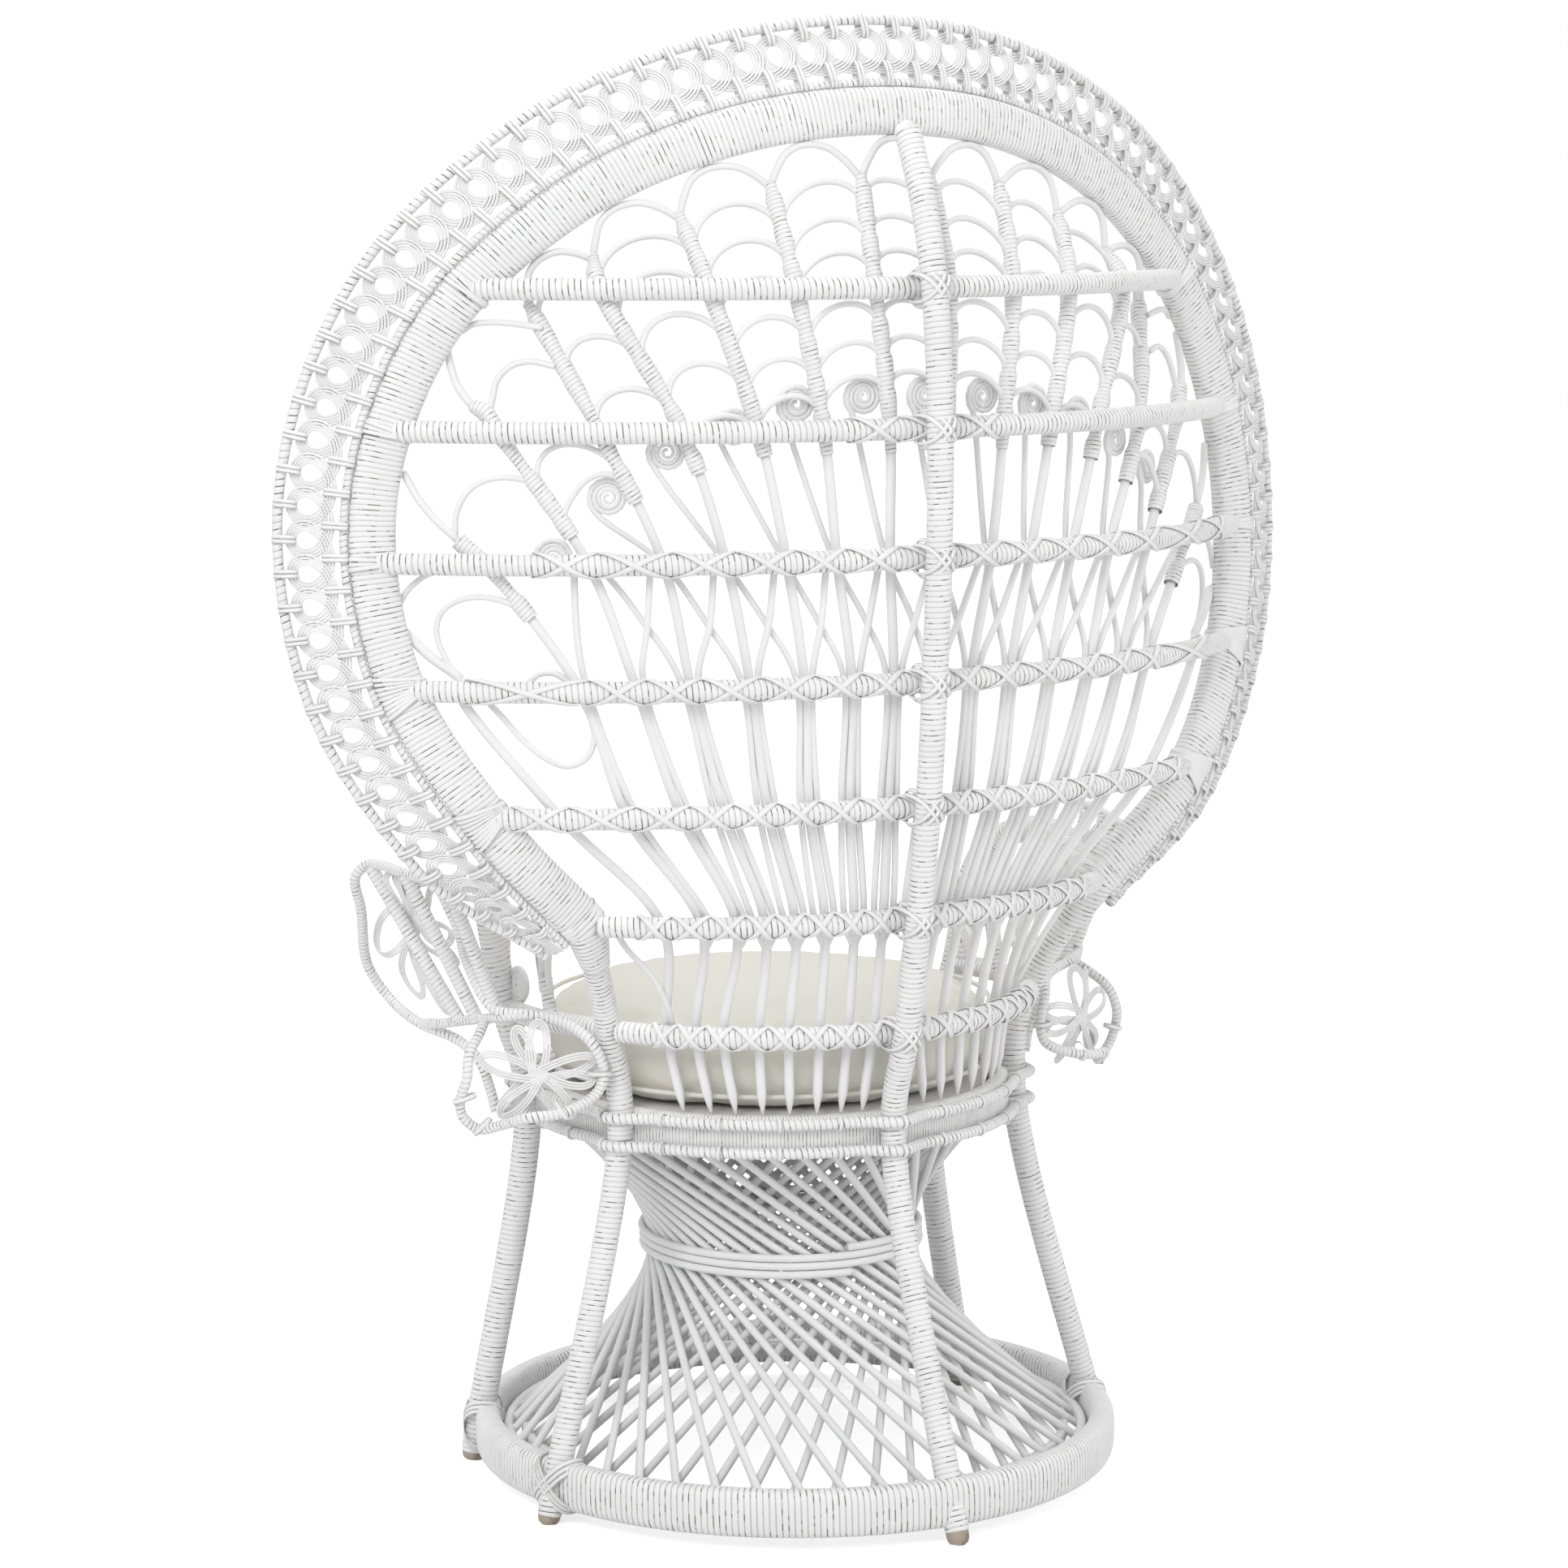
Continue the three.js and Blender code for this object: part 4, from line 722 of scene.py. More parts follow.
# %% The hoop's ends, bound to the side posts
END_STEPS, END_PITCH, END_POWER = 12, 4.9, 2.6
post_end = respaced(side_post, 4.0)[:-14:-1]
for side in (1, -1):
    path = respaced(on_side(np.vstack([hoop_path[-END_STEPS:-1:4], post_end]), side), 3.0)
    share = lengths(path) / lengths(path)[-1]
    wide = on_side(hoop_wide[-1], side) * np.ones((len(path), 1))
    along = unit(np.gradient(path, axis=0))
    wide = unit(wide - along * np.sum(wide * along, axis=1, keepdims=True))
    thick = np.cross(along, wide)
    half_widths = [BAND_HALF_WIDTH + 1.0, BAND_HALF_WIDTH - 1, POST_RADIUS + 1.2]
    half_thicks = [BAND_HALF_THICK + 1.0, POST_RADIUS + 1.8, POST_RADIUS + 1.2]
    sizes = np.interp(share, [0, 0.3, 1], half_widths), np.interp(share, [0, 0.5, 1], half_thicks)
    wrapped(hoop, path, sizes, pitch=END_PITCH, sides=22, frames=(wide, thick), power=END_POWER, groove=0.8)
    plug = path[:4] + along[:4] * 3
    strand(hoop, plug, (BAND_HALF_WIDTH - 1, BAND_HALF_THICK - 1), sides=14, power=3,
           frames=(wide[:4], thick[:4]), look=wrap_look)
piece("back_hoop", hoop)
print("hoop quads", sum(map(len, hoop.quads)))

# %% [markdown]
# ## The lace border
# Loops of four fine reeds overlap all round the hoop and are tied to a cane on either side. A point on a
# rolling wheel draws that chain of loops, so each reed follows a trochoid, lifted a little where it crosses
# its neighbour.

# %% Canes on both sides of the lace
OUTER_CANE_HALF = 4.9
inner_cane = Weave()
cane_path = hoop_path + hoop_wide * (BAND_HALF_WIDTH + CANE_HALF + FIT)
wrapped(inner_cane, cane_path, CANE_HALF - 0.1, pitch=5.4, sides=8, groove=0.5, look=fine_look)
piece("lace_inner_cane", inner_cane)

lace_base = hoop_path + hoop_wide * LACE_START
outer_path = lace_base + lace_lean + unit(lace_lean) * (OUTER_CANE_HALF + 0.1 + FIT)
outer_cane = Weave()
wrapped(outer_cane, outer_path, OUTER_CANE_HALF, pitch=6.4, sides=8, groove=0.5, look=fine_look)
piece("lace_outer_cane", outer_cane)
print("lace canes are", round(lengths(cane_path)[-1]), "and", round(lengths(outer_path)[-1]), "mm long")

# %% The chain of loops
LOOP_REACH, LOOP_RISE, LACE_MIDDLE = 19.5, 0.36, 0.5
REED_HALF, REED_SPACING, REEDS = 1.2, 2.85, 4
CROSS_LIFT, CROSS_RIPPLE = 1.7, 0.25
LOOP_STEPS = 26
lace_mid = lace_base + lace_lean * LACE_MIDDLE
mid_run = lengths(lace_mid)
loop_pitch = mid_run[-1] / LACE_LOOPS
print("one loop every", round(loop_pitch, 1), "mm")


def lace_place(run, across, lift):
    """Places on the lace at distances along it, shares across it and heights over it."""
    step = np.interp(run, mid_run, hoop_counts)
    lists = lace_base, lace_lean, lace_rim, hoop_along
    base, lean, rim, along = (along_hoop(step, values) for values in lists)
    beyond = (run - np.clip(run, 0, mid_run[-1]))[:, None] * along
    return base + lean * np.asarray(across)[..., None] + rim * np.asarray(lift)[..., None] + beyond


lace = Weave()
t = np.arange(LACE_LOOPS * LOOP_STEPS + 1) / LOOP_STEPS * 2 * np.pi
for reed in range(REEDS):
    offset = (reed - (REEDS - 1) / 2) * REED_SPACING
    run = loop_pitch * t / (2 * np.pi) + (LOOP_REACH - offset) * np.sin(t)
    width = np.interp(run, mid_run, leaf[:, 1])
    across = LACE_MIDDLE - (LOOP_RISE - offset / width) * np.cos(t)
    path = lace_place(run, across, CROSS_LIFT * np.sin(t) + CROSS_RIPPLE * np.cos(2 * t))
    strand(lace, path, REED_HALF, sides=6, look=reed_look)

# %% Ties between the loops and the canes
TIE_SPREAD, TIE_WIDTH, TIE_JITTER = 1.95, 4.2, 0.8
OUTER_TIE, INNER_TIE = (0.76, 1.2, 5.6), (-0.2, 0.28, 4.9)


def tie_lace(along, start, end, depth):
    """A strip round everything between two shares across the lace, at a distance along it."""
    a, b = (lace_place(np.array([along]), np.array([share]), np.zeros(1))[0] for share in (start, end))
    rim = lace_rim[int(np.interp(along, mid_run, hoop_counts))]
    lash(lace, (a + b) / 2, b - a, rim, np.linalg.norm(b - a) / 2, depth, TIE_WIDTH, steps=16, look=strip_look)


for loop in range(LACE_LOOPS):
    jitter = chance.uniform(-TIE_JITTER, TIE_JITTER)
    for slide in (-TIE_SPREAD, TIE_SPREAD):
        tie_lace(loop_pitch * (loop + 0.5) + slide + jitter, *OUTER_TIE)
        tie_lace(loop_pitch * loop + 0.5 + slide + jitter, *INNER_TIE)
piece("lace_border", lace)
print("lace quads", sum(map(len, lace.quads)))

# %% [markdown]
# ## Posts
# The centre post and side posts rise from the floor. Their wrapping stops just over the floor, where the
# bare pole is worn brown. The front posts bend back at arm height and become the inner arm rails.

# %% Wrapped posts with worn feet
POST_PITCH = 4.9
WRAP_LOW, FOOT_LOW, FOOT_HIGH = 7.0, 0.6, 12.0
FOOT_SHAPE = np.array([8.8, 10.0, 10.6, 10.6, 10.4]) / POST_RADIUS
CAP_STEPS, CAP_HEIGHT, SPINE_TOP = 7, 8.5, 1288.0
LASH_PITCH, LASH_WIDTH, LASH_REACH, LASH_DEPTH, LASH_SLANT = 5.0, 4.6, 19.5, 24.0, 0.8


def post(path, radius):
    """A wrapped pole with a bare worn foot."""
    weave = Weave()
    body = path[path[:, 2] > WRAP_LOW]
    taper = np.interp(lengths(body), [0, 8, 30], [radius - 1.2, radius - 0.4, radius])
    wrapped(weave, body, taper, pitch=POST_PITCH, sides=16, groove=0.6)
    foot = np.linspace(at_height(path, FOOT_LOW), at_height(path, FOOT_HIGH), len(FOOT_SHAPE))
    strand(weave, foot, FOOT_SHAPE * radius, sides=14, look=worn_look)
    weave.places = [np.maximum(part, [-np.inf, -np.inf, 0.0]) for part in weave.places]
    return weave


spine_body = spine[spine[:, 2] < SPINE_TOP]
centre = post(spine_body, POST_RADIUS)
cap_shares = np.linspace(0, 0.96, CAP_STEPS)
cap_along = unit(spine_body[-1] - spine_body[-2])
cap = spine_body[-1] + cap_along * np.linspace(-2, CAP_HEIGHT, CAP_STEPS)[:, None]
strand(centre, cap, POST_RADIUS * np.sqrt(np.clip(1 - cap_shares**2, 0.02, 1)), sides=14, look=wrap_look)
for rail in rails:
    middle = at_height(spine, rail["z"]) - BACK * (RAIL_RADIUS + 0.2)
    for lean in (1, -1):
        far = unit(np.array([lean * LASH_SLANT, 0, 1.0]))
        for slide in (-0.5, 0.5):
            place = middle + np.array([-lean, 0, LASH_SLANT]) * slide * LASH_PITCH
            lash(centre, place, far, BACK, LASH_REACH, LASH_DEPTH, LASH_WIDTH, power=2.3, look=strip_look)
piece("post_back_centre", centre)

# %% Crossed ties at the floor ring
RING_HEIGHT, TIE_REACH, TIE_DEPTH, TIE_SLIDE, TIE_SLANT = 36, 31, 20, 3.4, 0.95


def ring_ties(weave, path, radius):
    """Crossed strips that hold a post against the floor ring."""
    place = at_height(path, RING_HEIGHT)
    out = unit(place * [1, 1, 0])
    beside = np.cross(UP, out)
    for lean in (1, -1):
        for slide in (-1, 0, 1):
            far = unit(beside * lean + UP * TIE_SLANT)
            middle = place - out * (TIE_DEPTH - radius - 1.4) + (beside * -lean + UP) * slide * TIE_SLIDE
            lash(weave, middle, far, out, TIE_REACH, TIE_DEPTH, 4.4, look=strip_look)


post_kinds = (("post_side_", side_post, POST_RADIUS), ("post_front_", front_post, FRONT_POST_RADIUS))
for side, word in WORDS.items():
    for node, path, radius in post_kinds:
        weave = post(on_side(path, side), radius)
        ring_ties(weave, on_side(path, side), radius)
        piece(node + word, weave)
print("posts done")

# %% [markdown]
# ## Rails
# Seven rails cross the back. Each is a pole under close wrapping, and all but the top one also carry a long
# strip that crosses the pole between two ribs and goes round each rib in front. Two such strips, one each
# way, make the crosses.

# %% One crossed lashing strip
BACK_COUNT, FRONT_COUNT = 12, 7
RIB_BULGE, LASHING_STRIP = 9.4, (2.7, 0.75)


def cross_strip(weave, rail, stops, lift):
    """One long strip over the rail's back from rib to rib, which goes round each rib on the rail's front."""
    path, outs = [], []
    reach = RAIL_RADIUS + lift
    for share, after in zip(stops[:-1], stops[1:]):
        shares = [share + (after - share) * k / BACK_COUNT for k in range(BACK_COUNT)] + [after] * FRONT_COUNT
        degrees = [90 - 180 * k / BACK_COUNT for k in range(BACK_COUNT)]
        degrees += [-90 - 180 * k / FRONT_COUNT for k in range(FRONT_COUNT)]
        for k, (here, angle) in enumerate(zip(shares, np.radians(degrees))):
            middle = rail_place(rail, here)
            out = unit(middle - np.array([0, rail["centre"], rail["z"]]))
            bulge = 0 if k < BACK_COUNT else RIB_BULGE * math.cos(angle) ** 2
            path.append(middle + out * math.cos(angle) * (reach + bulge) + UP * math.sin(angle) * reach)
            outs.append(out * math.cos(angle) + UP * math.sin(angle))
    path, outs = np.array(path), unit(np.array(outs))
    along = unit(np.gradient(path, axis=0))
    across = unit(np.cross(along, outs))
    frames = across, np.cross(along, across)
    strand(weave, path, LASHING_STRIP, sides=6, frames=frames, power=3, look=strip_look)


# %% Wrapped rails
RAIL_PITCH, RAIL_CLEAR, LOW_RAILS_OVER = 5.6, 0.97, {6: -12, 7: -12}
CROSS_LIFTS = (0.75, 1.35)
SECOND_RAIL_MIDDLE, THIRD_RAIL_RIGHT = 0.2, 0.66
for number, rail in enumerate(rails, 1):
    weave = Weave()
    over = LOW_RAILS_OVER.get(number, 0)
    reach = rail["half"] * (1 + over / (rail["radius"] * rail["half"]))
    path = around(rail["centre"], rail["radius"], np.degrees(np.linspace(-reach, reach, 240)), rail["z"])
    wrapped(weave, path, RAIL_RADIUS - 0.1, pitch=RAIL_PITCH, sides=14, groove=0.6, look=fine_look)
    column = 7 - number
    shares = [row[column] for row in rib_shares if column < len(row) and row[column] < RAIL_CLEAR]
    stops = sorted(side * share for share in shares for side in (1, -1))
    if number == 2:
        stops = [share for share in stops if abs(share) < SECOND_RAIL_MIDDLE]
    if number == 3:
        stops = [share for share in stops if share < THIRD_RAIL_RIGHT]
    if number >= 2:
        gap = (stops[-1] - stops[-2]) * 0.8
        ends = [share for share in [stops[0] - gap] + stops + [stops[-1] + gap] if abs(share) < RAIL_CLEAR]
        cross_strip(weave, rail, ends, CROSS_LIFTS[0])
        cross_strip(weave, rail, ends[::-1], CROSS_LIFTS[1])
    piece(f"back_rail_{number}", weave)

# %% Side rails from the lowest rail to the front posts
SIDE_RAIL_BOW = 0.075
low_rail = rails[6]
front_place = at_height(front_post, low_rail["z"] - POST_RADIUS / 2)
side_mid = (low_rail["end"] + front_place) / 2
side_mid = side_mid + [SIDE_RAIL_BOW * np.linalg.norm(front_place - low_rail["end"]), 0, 0]
side_rail = fair([low_rail["end"], side_mid, front_place])
for side, word in WORDS.items():
    weave = Weave()
    wrapped(weave, on_side(side_rail, side), RAIL_RADIUS - 0.1, pitch=RAIL_PITCH, sides=14, look=fine_look)
    piece(f"side_rail_{word}", weave)
print("rails done")

# %% [markdown]
# ## Ribs, scallop arches and scrolls
# The ribs fan out of the seat like feathers. Up to just below the second rail a rib is a bare rod. Thinner
# reeds run beside it, part from it at the fourth rail and end in scrolls. Higher up it is wrapped, and
# arches spring from it in rows.

# %% Where arches and scrolls go
arch_shares = [
    (0.9151, 0.8714, 0.8302, 0.7703, 0.7266, 0.6841), (0.9126, 0.8677, 0.8277, 0.7665, 0.7203, 0.6791),
    (0.8864, 0.8427, 0.8002, 0.7516, 0.7016, 0.6567), (0.8477, 0.8052, 0.7553, 0.6966, 0.6342),
    (0.7903, 0.7291, 0.6667), (0.6005,),
]
scroll_shares = {
    -7: 0.5468, -6: 0.5868, -5: 0.6217, -4: 0.6404, -3: 0.6517, -2: 0.6554, -1: 0.6554, 1: 0.6479, 2: 0.6205,
    3: 0.5917, 4: 0.5381, 5: 0.4657,
}
# Loops beside the outer ribs: their inner rib, their outer rib and places across and up
side_loops = [
    (5, 0, [(378, 1110), (370, 1116), (360, 1118), (349, 1118), (322, 1114)]),
    (5, 6, [(368, 1034), (363, 1052), (358, 1068), (347, 1080), (333, 1084), (316, 1080)]),
    (5, 6, [(316, 945), (313, 956), (307, 967), (298, 979), (284, 985), (270, 981), (262, 972)]),
    (6, 7, [(397, 928), (396, 946), (390, 963), (380, 975), (366, 981), (352, 981), (338, 978)]),
    (7, 8, [
        (374, 780), (392, 798), (405, 818), (412, 842), (409, 859), (399, 870), (383, 875), (367, 873),
        (355, 868),
    ]),
    (0, 0, [(440, 862), (432, 880), (420, 893), (410, 898)]),
]
hanging_loop = [
    (372, 778), (362, 766), (347, 747), (329, 730), (310, 722), (295, 730), (290, 749), (293, 764), (302, 783),
    (315, 801), (324, 807), (336, 806), (344, 797),
]
low_reed = [(245, 558), (233, 541), (213, 519), (195, 490), (183, 462)]
BUNDLE = RIB_RADIUS + SIDE_REED + FIT
CROSS_DEPTH = RIB_RADIUS + SIDE_REED + 0.9
joints = {rib: [] for rib in rib_paths}
print("arches", sum(map(len, arch_shares)), "and scrolls", len(scroll_shares))

# %% Arches
START_DROP, END_DROP = 0.26, 0.50
CREST_REED = 3.4


def arch_path(start, apex, end, steps=21):
    """Half an ellipse from start to end, through the apex and on a slant where one end lies lower."""
    angle = np.linspace(0, np.pi, steps)[:, None]
    middle = (start + end) / 2
    return middle + (start - middle) * np.cos(angle) + (apex - middle) * np.sin(angle)


def plain_arch(weave, rib, outer, apex_z):
    """Arch from one rib to the next one out, which notes where it meets each of them."""
    gap = np.linalg.norm(rib_at(rib, apex_z) - rib_at(outer, apex_z))
    apex = between(rib, outer, 0.5, apex_z, 0)
    start_z, end_z = apex_z - START_DROP * gap, apex_z - END_DROP * gap
    joints[rib].append(start_z)
    joints[outer].append(end_z)
    path = arch_path(rib_at(rib, start_z), apex, rib_at(outer, end_z))
    strand(weave, path, ARCH_REED, sides=8, look=reed_look)


def crest_arch(weave, rib, outer):
    """Arch from one rib's top to the next one's, which touches the hoop between them."""
    lump = lumps[0] if rib * outer < 0 else math.copysign(lumps[abs(rib)], rib)

    def shoulder(one, way, drop):
        share, depth = rib_tops[abs(one) - 1]
        share = math.copysign(share, one)
        return inside_hoop(share + (lump - share) * way, 3.2 + drop * depth * CREST_DEPTH)

    ends = [rib_paths[one][-1] - UP * 3 for one in (rib, outer)]
    path = fair([
        ends[0], shoulder(rib, 0.28, 0.5), shoulder(rib, 0.58, 0.14), inside_hoop(lump, 3.0),
        shoulder(outer, 0.58, 0.14), shoulder(outer, 0.28, 0.5), ends[1],
    ])
    strand(weave, path, CREST_REED, sides=8, look=reed_look)


def side_loop(weave, rows, side, radius=ARCH_REED):
    strand(weave, on_side(fair([back_place(x, z) for x, z in rows]), side), radius, sides=8, look=reed_look)


# %% Scrolls and leaning reeds
SCROLL_RADIUS, SCROLL_TURNS, SCROLL_TIGHTENS, SCROLL_START = 17.5, 3.4, 0.86, -50
SCROLL_REED = [3.3, 2.9, 1.7]
SCROLL_PLACE, PASSING_DEPTH = 0.3, 7.15
REED_FOOT = 26.0
PARTING_RAIL, REACHED_RAIL, SIXTH_RAIL = (rails[k]["z"] for k in (3, 2, 5))


def reed_beside(rib, offset):
    """The lower places of a reed beside a rib, up to the rail where it parts from the rib."""
    return [
        rib_at(rib, SIXTH_RAIL - REED_FOOT), beside_rib(rib, SIXTH_RAIL - RAIL_RADIUS / 2, offset),
        beside_rib(rib, (SIXTH_RAIL + PARTING_RAIL) / 2, offset),
        beside_rib(rib, PARTING_RAIL + RAIL_RADIUS, offset),
    ]


def scroll(weave, rib, height_share):
    """Side reed that leaves its rib, crosses the next one and curls up."""
    following, far = next_rib(rib, 1), next_rib(rib, 2)
    points = reed_beside(rib, BUNDLE) + [
        between(rib, following, 0.5, (PARTING_RAIL + REACHED_RAIL) / 2, PASSING_DEPTH),
        between(rib, following, 1, REACHED_RAIL, CROSS_DEPTH),
    ]
    centre = between(following, far, SCROLL_PLACE, HOOP_LOW + height_share * HOOP_RISE, CROSS_DEPTH)
    turn = np.linspace(0, SCROLL_TURNS, int(14 * SCROLL_TURNS))
    angle = np.radians(SCROLL_START) + 2 * np.pi * turn
    radius = SCROLL_RADIUS * (1 - turn / SCROLL_TURNS * SCROLL_TIGHTENS)
    spiral = centre + across_at(centre) * (radius * np.cos(angle))[:, None]
    spiral = spiral + UP * (radius * np.sin(angle))[:, None]
    stem = fair(points + [spiral[0], spiral[2]], spacing=6)
    stem = stem[: np.argmin(np.linalg.norm(stem - spiral[0], axis=1))]
    path = np.vstack([stem, spiral])
    run = lengths(path)
    strand(weave, path, np.interp(run, [0, run[len(stem)], run[-1]], SCROLL_REED), sides=8, look=reed_look)


def lean_reed(weave, rib):
    """Side reed that leaves a rib to its right and ends beside the right neighbour."""
    following = next_rib(rib, -1)
    path = fair(reed_beside(rib, -BUNDLE) + [
        between(rib, following, 0.5, (PARTING_RAIL + REACHED_RAIL) / 2, 0),
        beside_rib(following, REACHED_RAIL + 4, BUNDLE + 0.9),
    ], spacing=8)
    strand(weave, path, SIDE_REED - 0.1, sides=8, look=reed_look)


# %% What springs from the ribs
rib_weaves = {rib: Weave() for rib in rib_paths}
for side in (1, -1):
    for index in range(1, len(rib_shares)):
        rib, outer = side * index, side * (index + 1)
        if index < 5:
            crest_arch(rib_weaves[rib], rib, outer)
        for share in arch_shares[index] if index < len(arch_shares) else ():
            plain_arch(rib_weaves[rib], rib, outer, HOOP_LOW + share * HOOP_RISE)
    for inner, outer, rows in side_loops:
        side_loop(rib_weaves[side * (inner or 8)], rows, side)
        if inner:
            joints[side * inner].append(rows[-1][1] + 2)
        if outer and outer < 8:
            joints[side * outer].append(rows[0][1] - 2)
    side_loop(rib_weaves[side * 8], low_reed, side)
side_loop(rib_weaves[8], hanging_loop, 1, 3.1)
crest_arch(rib_weaves[1], 1, -1)
for share in arch_shares[0]:
    plain_arch(rib_weaves[1], 1, -1, HOOP_LOW + share * HOOP_RISE)
for rib, share in scroll_shares.items():
    scroll(rib_weaves[rib], rib, share)
for rib in rib_paths:
    if rib > -7 and abs(rib) < 8:
        lean_reed(rib_weaves[rib], rib)
print("joints on the ribs", sum(map(len, joints.values())))

# %% Sixteen ribs
WRAPPED_RIB, KNOB, KNOB_BELOW, KNOB_ABOVE = 5.3, 2.9, 26, 5
BARE_END, BARE_BELOW_JOINT = 22, 14
END_REED = 3.6


def knobbed(heights, knobs):
    """Radius of a wrapped rib that swells up to each of its joints and drops back above it."""
    radius = np.full(len(heights), WRAPPED_RIB)
    for z in knobs:
        below = z - heights
        fade = np.where(below > 0, np.exp(-((below / KNOB_BELOW) ** 2)), np.exp(-((below / KNOB_ABOVE) ** 2)))
        radius = np.maximum(radius, WRAPPED_RIB + KNOB * fade)
    return radius


for rib, path in rib_paths.items():
    weave = rib_weaves[rib]
    node = f"rib_{WORDS[1 if rib > 0 else -1]}_{abs(rib)}"
    top_z = path[-1][2]
    lowest = min(joints[rib]) if joints[rib] else top_z - 60
    runs_on = abs(rib) in rib_ends
    lump = rib_ends[abs(rib)][0][1] if runs_on else top_z - 14
    bare_top = min(rails[1]["z"] - BARE_END, lowest - BARE_BELOW_JOINT)
    bare = respaced(between_heights(path, 0, top_z if abs(rib) == 8 else bare_top + 4), 9)
    strand(weave, bare, np.interp(lengths(bare), [0, 16], [1.3, RIB_RADIUS]), sides=10, look=reed_look)
    if runs_on:
        strand(weave, between_heights(path, lump - 6, top_z), END_REED, sides=10, look=reed_look)
    if abs(rib) < 8:
        top = between_heights(path, bare_top, lump + 6 if runs_on else top_z - 0.5)
        wrapped(weave, top, knobbed(top[:, 2], joints[rib] + [lump]), pitch=4.1, sides=12, groove=0.5)
    piece(node, weave)
print("ribs done,", sum(sum(map(len, weave.quads)) for weave in rib_weaves.values()), "quads")

# %% [markdown]
# ## The hourglass base
# Two families of straight rods lean opposite ways between the floor ring and the seat. Straight lines on a
# slant make the waist by themselves. A coil of reed binds them where they are closest.

# %% Floor ring
RING_RADIUS, RING_MIDDLE, RING_SIZES, RING_PITCH = 300.0, 36.5, (12.5, 22.5), 5.6
ring = Weave()
ring_path = around(0, RING_RADIUS, np.arange(0, 360, 1.5), RING_MIDDLE)
ring_frames = unit(ring_path * [1, 1, 0]), np.broadcast_to(UP, ring_path.shape)
wrapped(ring, ring_path, RING_SIZES, pitch=RING_PITCH, sides=22, frames=ring_frames, power=3.4, closed=True,
        groove=0.8, look=fine_look)
piece("base_ring", ring)

# %% Two families of rods
ROD_COUNT, ROD_HALF, ROD_HALF_VARIES, ROD_BEND = 42, 3.85, 0.12, 0.25
OUTER_FOOT, INNER_FOOT, ROD_TOP_RADIUS, INNER_STEP = 280.4, 263.0, 211.0, 18.0
ROD_LOW, ROD_HIGH, ROD_SUNK, ROD_OVER = 45.0, 342.6, 12.0, 2.0
OUTER_TWIST, INNER_TWIST = 116.0, 118.0
HOOP_SUNK, HOOP_SIZES = 8.0, (4.8, 6.5)
families = (
    ("base_rods_outer", OUTER_FOOT, ROD_TOP_RADIUS, OUTER_TWIST, 0.0, reed_look),
    # The inner rods take the darker white, painted shade.
    ("base_rods_inner", INNER_FOOT, ROD_TOP_RADIUS - INNER_STEP, -INNER_TWIST, 0.5, shade_look),
)
for node, foot, top, twist, start, look in families:
    weave = Weave()
    for i in range(ROD_COUNT):
        degrees = (i + start) * 360 / ROD_COUNT
        low_end = around(0, foot, degrees, ROD_LOW - ROD_SUNK)
        high_end = around(-SEAT_FORWARD, top, degrees + twist, ROD_HIGH + ROD_OVER)
        path = low_end + (high_end - low_end) * np.linspace(0, 1, 7)[:, None]
        path = path + unit(path * [1, 1, 0]) * chance.normal(0, ROD_BEND)
        half = ROD_HALF + chance.normal(0, ROD_HALF_VARIES)
        strand(weave, path, half, sides=10, look=look, start=i * 37.0)
    hidden_ring = around(0, foot, np.arange(0, 360, 5.0), ROD_LOW - HOOP_SUNK)
    out = unit(hidden_ring * [1, 1, 0])
    strand(weave, hidden_ring, HOOP_SIZES, sides=8, frames=(out, np.broadcast_to(UP, out.shape)), power=3,
           closed=True, look=look)
    piece(node, weave)
print("rods in each family", ROD_COUNT)

# %% Waist coil
COIL_TURNS, COIL_STEPS, COIL_PITCH, COIL_REED, COIL_CLEAR = 3, 60, 7.7, 3.75, 8.4
coil = Weave()
twist = math.radians(OUTER_TWIST)
rise = ROD_HIGH - ROD_LOW
cross = OUTER_FOOT * ROD_TOP_RADIUS * math.cos(twist)
waist_share = (OUTER_FOOT**2 - cross) / (OUTER_FOOT**2 + ROD_TOP_RADIUS**2 - 2 * cross)
turn = np.linspace(0, COIL_TURNS, COIL_TURNS * COIL_STEPS + 1)
z = ROD_LOW + waist_share * rise + (turn - COIL_TURNS / 2) * COIL_PITCH
share = (z - ROD_LOW) / rise
beside_rod = (1 - share) * OUTER_FOOT + share * ROD_TOP_RADIUS * math.cos(twist)
reach = np.hypot(beside_rod, share * ROD_TOP_RADIUS * math.sin(twist)) + COIL_CLEAR
coil_path = around(share * -SEAT_FORWARD, reach, turn * 360, z)
strand(coil, coil_path, COIL_REED, sides=10, look=reed_look)
piece("waist_binding", coil)
print("the coil is", round(lengths(coil_path)[-1]), "mm long")

# %% [markdown]
# ## The seat band and its border canes
# A broad band with fine upright wraps closes the base. A cane runs along its upper and lower edge and
# swings out round every post.

# %% Seat band
BAND_SIZES, BAND_PITCH = (10.0, 19.0), 3.3
band = Weave()
band_path = around(-SEAT_FORWARD, BAND_MIDDLE, np.arange(0, 360, 1.5), SEAT_MIDDLE)
band_out = unit((band_path + [0, SEAT_FORWARD, 0]) * [1, 1, 0])
band_frames = band_out, np.broadcast_to(UP, band_path.shape)
wrapped(band, band_path, BAND_SIZES, pitch=BAND_PITCH, sides=18, frames=band_frames, power=4, closed=True,
        groove=0.5, look=fine_look)
piece("seat_band", band)
print("seat band quads", sum(map(len, band.quads)))

